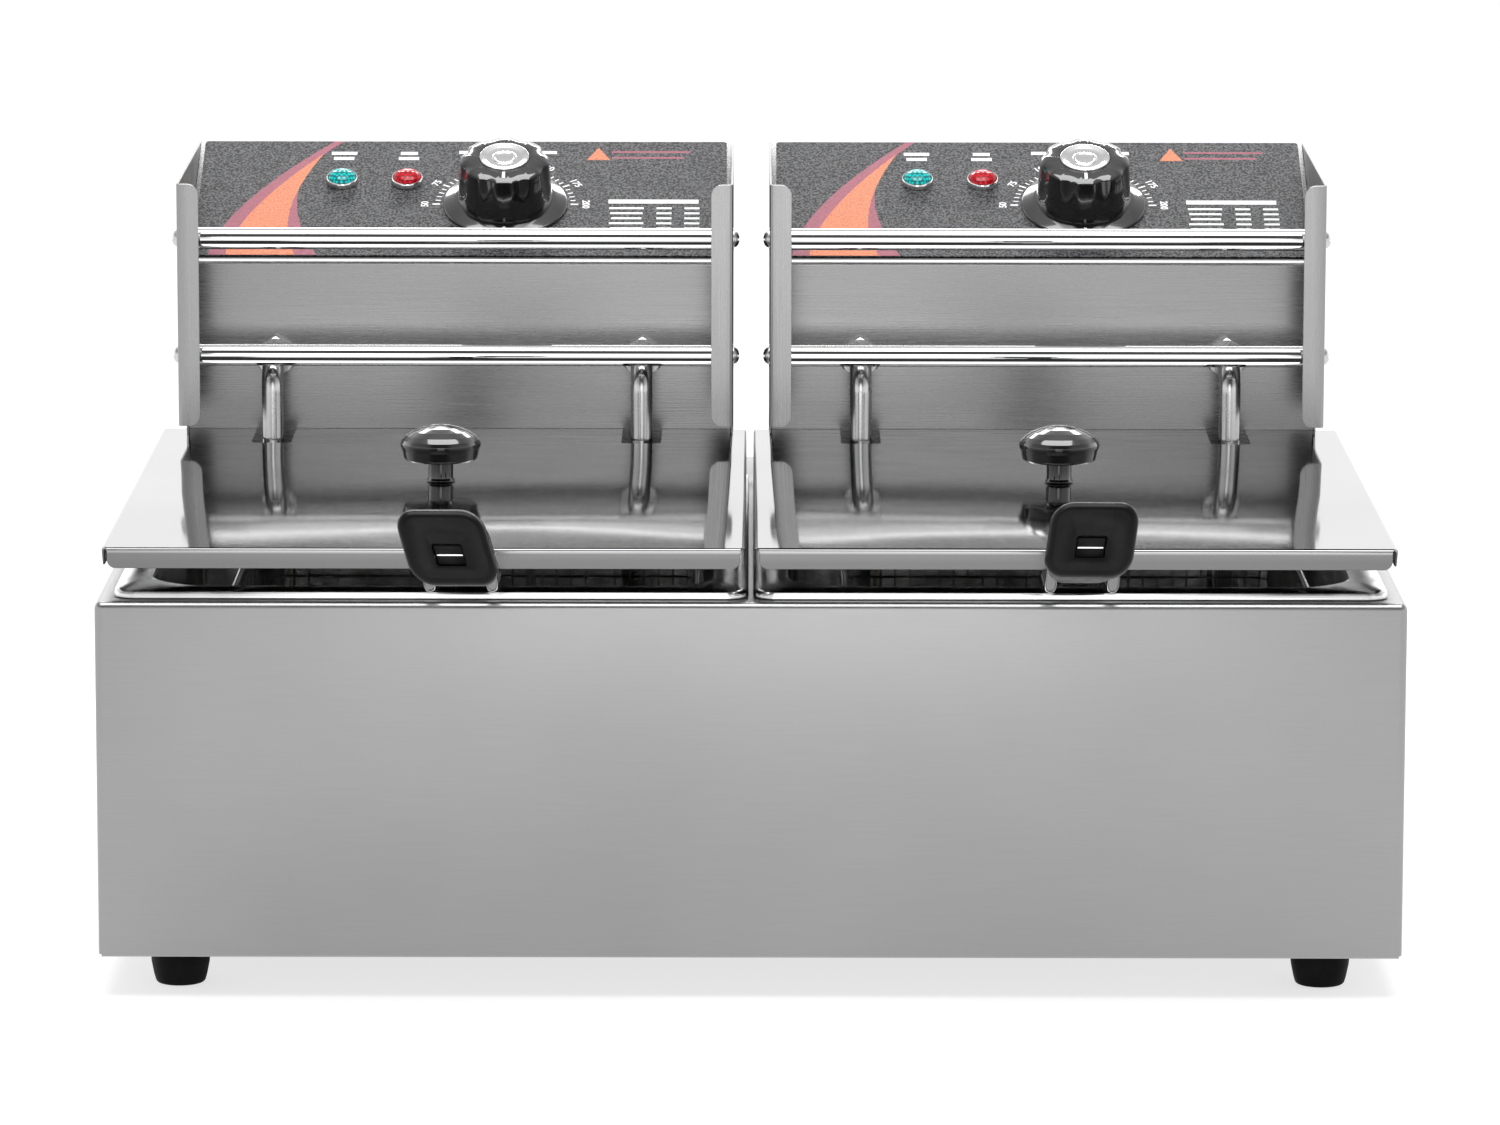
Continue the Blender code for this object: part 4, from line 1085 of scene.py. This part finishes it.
def basket(side, chrome):
    """Welded mesh in a frame of thicker wire, with a hook at the back to hang it by."""
    x = BASKET_X[side]
    low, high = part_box(f"{side}_basket")
    wide, deep = (high.x - low.x) / 2 / MM, (high.y - low.y) / MM
    front, floor_z, top_z = 33.0, low.z / MM + 1.2, high.z / MM - 1.6
    back = front + deep
    pitch, corner, down, thin = 6.6, 9, 3.9, 0.55

    def loop(name, inset, z, radius, sides):
        a, b = wide - inset, inset
        ring = [(x - a, front + b), (x + a, front + b), (x + a, back - b), (x - a, back - b)]
        return wire(name, [spot(px, py, z) for px, py in ring], corner, radius, sides, 4, True)

    rim = loop(f"{side}_basket_rim", 1.7, top_z, 1.6, 3)
    band = loop(f"{side}_basket_band", 1.3, floor_z + 46, 1.1, 2)
    rings = loop(f"{side}_mesh_rings", 2.9, floor_z + 3, thin, 0)
    row_of(rings, int((top_z - floor_z - 4) / pitch), (0, 0, pitch))
    count_y = int((deep - 2 * down - 4) / pitch) + 1
    start = (front + back) / 2 - (count_y - 1) / 2 * pitch
    ends = [(down - wide, top_z), (down - wide, floor_z), (wide - down, floor_z), (wide - down, top_z)]
    cross = wire(f"{side}_mesh_cross", [spot(x + px, start, z) for px, z in ends], 5, thin, 0, 3)
    row_of(cross, count_y, (0, pitch, 0))
    count_x = int((2 * wide - 2 * down - 4) / pitch) + 1
    start = -(count_x - 1) / 2 * pitch
    ends = [(front + down, top_z), (front + down, floor_z - 1)]
    ends += [(back - down, floor_z - 1), (back - down, top_z)]
    length = wire(f"{side}_mesh_length", [spot(x + start, py, z) for py, z in ends], 5, thin, 0, 3)
    row_of(length, count_x, (pitch, 0, 0))
    half_hook = [(-2.4, 120), (-2.4, 166), (9.5, 166), (9.5, 158)]
    points = [spot(x - 22, back + dy, z) for dy, z in half_hook]
    points += [spot(x + 22, back + dy, z) for dy, z in half_hook[::-1]]
    hook = wire(f"{side}_basket_hook", points, 3, 1.5, 3)
    for obj in (rim, band, rings, cross, length, hook):
        nodes = [f"{side}_basket"] if obj == rim else []
        fit(obj, chrome, f"{side}_basket_lifting", nodes, 60)


def handle_turn(side):
    yaw = Matrix.Rotation(math.radians(GRIP_YAW[side]), 4, "Z")
    return yaw @ Matrix.Rotation(-math.radians(GRIP_PITCH[side]), 4, "X")


def basket_handle(side, chrome, black):
    """The handle's bent wire, and the moulded grip it is set in."""
    body = f"{side}_basket_lifting"
    centre = Vector((BASKET_X[side] * MM, 0, 0))
    pivot = spot(BASKET_X[side], -32, 194)
    turn = handle_turn(side)
    sides = []
    for sign in (1, -1):
        out = Vector((sign * 13 * MM, 0, 0))
        hung = [spot(0, y, z) + centre + out for y, z in ((29.95, 84), (29.95, 176.6), (-6, 176.6))]
        sides.append(hung + [pivot + turn @ out, pivot + turn @ (out + Vector((0, -106 * MM, 0)))])
    obj = wire(f"{side}_handle_wire", sides[0] + sides[1][::-1], 7, 2.75, 5, 6)
    fit(obj, chrome, body, [f"{side}_basket_handle_wire"], 60)
    length = 117.2
    grip = small_block(f"{side}_moulded_grip", (-17.6, -length, -15.3), (17.6, 0, 15.3))
    pick(grip, "EDGE", lambda e: along(e, 1))
    bpy.ops.mesh.subdivide(number_cuts=7)
    swell = ((118, 1.0, 0.97), (103.25, 1.0, 1.0), (88.5, 0.95, 0.99), (73.75, 0.91, 0.97), (59, 0.88, 0.95),
             (44.25, 0.86, 0.93), (29.5, 0.85, 0.92), (14.75, 0.85, 0.91), (0, 0.84, 0.88))
    for distance, wider, taller in swell:
        pick(grip, "VERT", lambda v: abs(v.co.y + distance * MM) < MM)
        bpy.ops.transform.resize(value=(wider, 1, taller), center_override=(0, -distance * MM, 0))
    pick(grip, "EDGE", lambda e: abs(e.verts[0].co.y - e.verts[1].co.y) > MM)
    bevel(8.5, 8)
    pick(grip, "EDGE", lambda e: abs(mid(e).y) < 0.1 * MM or abs(mid(e).y + length * MM) < 0.1 * MM)
    bevel(3.2, 5)
    recess = small_block("recess", (-6.0, -119.5, -7.4), (6.0, -108.68, 1.4))
    bpy.ops.object.mode_set(mode="OBJECT")
    soften(recess, 1.0, 3)
    cut(grip, recess)
    soften(grip, 0.35, 2, 50)
    lean = Matrix.Identity(4)
    lean[0][2] = GRIP_LEAN[side]
    grip.data.transform(lean)
    place = Matrix.Translation(pivot) @ turn @ Matrix.Translation((0, 0, 3 * MM))
    set_in(grip, place)
    fit(grip, black, body, [f"{side}_basket_grip"], 40)


# ------------------------------------------------------------ assembly


def finish_hidden(finishes):
    """The pieces of the frame that stay as they are get their own finish."""
    for node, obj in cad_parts.items():
        tail = node.split("_", 1)[1]
        if node == "base_plate":
            material = finishes["case"]
        elif tail == "thermostat":
            material = finishes["zinc"]
        elif tail in ("high_limit_cutout", "terminal_block"):
            material = finishes["cream"]
        else:
            continue
        obj.data.materials.clear()
        obj.data.materials.append(material)


def build():
    camera()
    studio()
    finishes = {
        "case": brushed("case_brushed", 0.31, 0.32, "X", 0.000006),
        "head": brushed("head_brushed", 0.24, 0.26, "X", 0.000002),
        "cheek": brushed("cheek_brushed", 0.31, 0.28, "Z", 0.000006),
        # The lid's flaps get painted shade: colour 0.16 against the top's 0.40, with roughness 0.26.
        "lid": sheet_with_edges(
            brushed("lid_bright", 0.40, 0.06, "X", 0.0000004, 0.0016, 0.76), 0.1893, 0.1910, 0.16, 0.26
        ),
        "tank": polished("tank_polished", 0.66, 0.16),
        "bright": polished("bar_bright", 0.72, 0.03),
        "chrome": polished("wire_chrome", 0.72, 0.12),
        "trim": polished("trim_chrome", 0.85, 0.08),
        "tube": polished("element_tube", 0.50, 0.20),
        "zinc": polished("screw_zinc", 0.55, 0.25),
        "black": moulded("knob_gloss", (0.003, 0.003, 0.0034), 0.12, 700, 0.000004, 0.55),
        "grip": moulded("grip_satin", (0.004, 0.004, 0.0044), 0.27, 900, 0.00002, 0.12),
        "rubber": moulded("foot_rubber", (0.002, 0.002, 0.002), 0.60, 500, 0.00004, 0.08),
        "cream": moulded("ceramic_cream", (0.62, 0.58, 0.48), 0.5, 300, 0.00003),
        "film": film("label_film"),
    }
    inks = {
        "white": ink("ink_white", (0.92, 0.92, 0.92), 0.08),
        "pink": ink("ink_pink", (0.36, 0.085, 0.13)),
        "orange": ink("ink_orange", (0.78, 0.22, 0.09)),
    }
    colours = {
        "power": lens_plastic("lens_green", (0.0, 0.70, 0.66), (0.0, 0.12, 0.13)),
        "heat": lens_plastic("lens_red", (0.80, 0.006, 0.02), (0.22, 0.0, 0.006)),
    }
    case_shell(finishes["case"])
    base_screws(finishes["zinc"])
    feet(finishes["rubber"])
    for side in SIDES:
        oil_tank(side, finishes["tank"])
        lid(side, finishes["lid"])
        lid_knob(side, finishes["black"], finishes["zinc"])
        front_panel(side, finishes["head"])
        for hand in SIDES:
            head_side(side, hand, finishes["cheek"])
        rear_cover(side, finishes["head"], finishes["zinc"])
        control_label(side, finishes["film"])
        label_print(side, inks)
        hanging_rods(side, finishes["bright"], finishes["zinc"])
        heating_element(side, finishes["tube"], finishes["zinc"])
        thermostat_knob(side, finishes["black"], finishes["trim"], inks["white"])
        indicator_lights(side, finishes["trim"], colours)
        cable_gland(side, finishes["grip"])
        basket(side, finishes["chrome"])
        basket_handle(side, finishes["chrome"], finishes["grip"])
    finish_hidden(finishes)


build()
deselect()
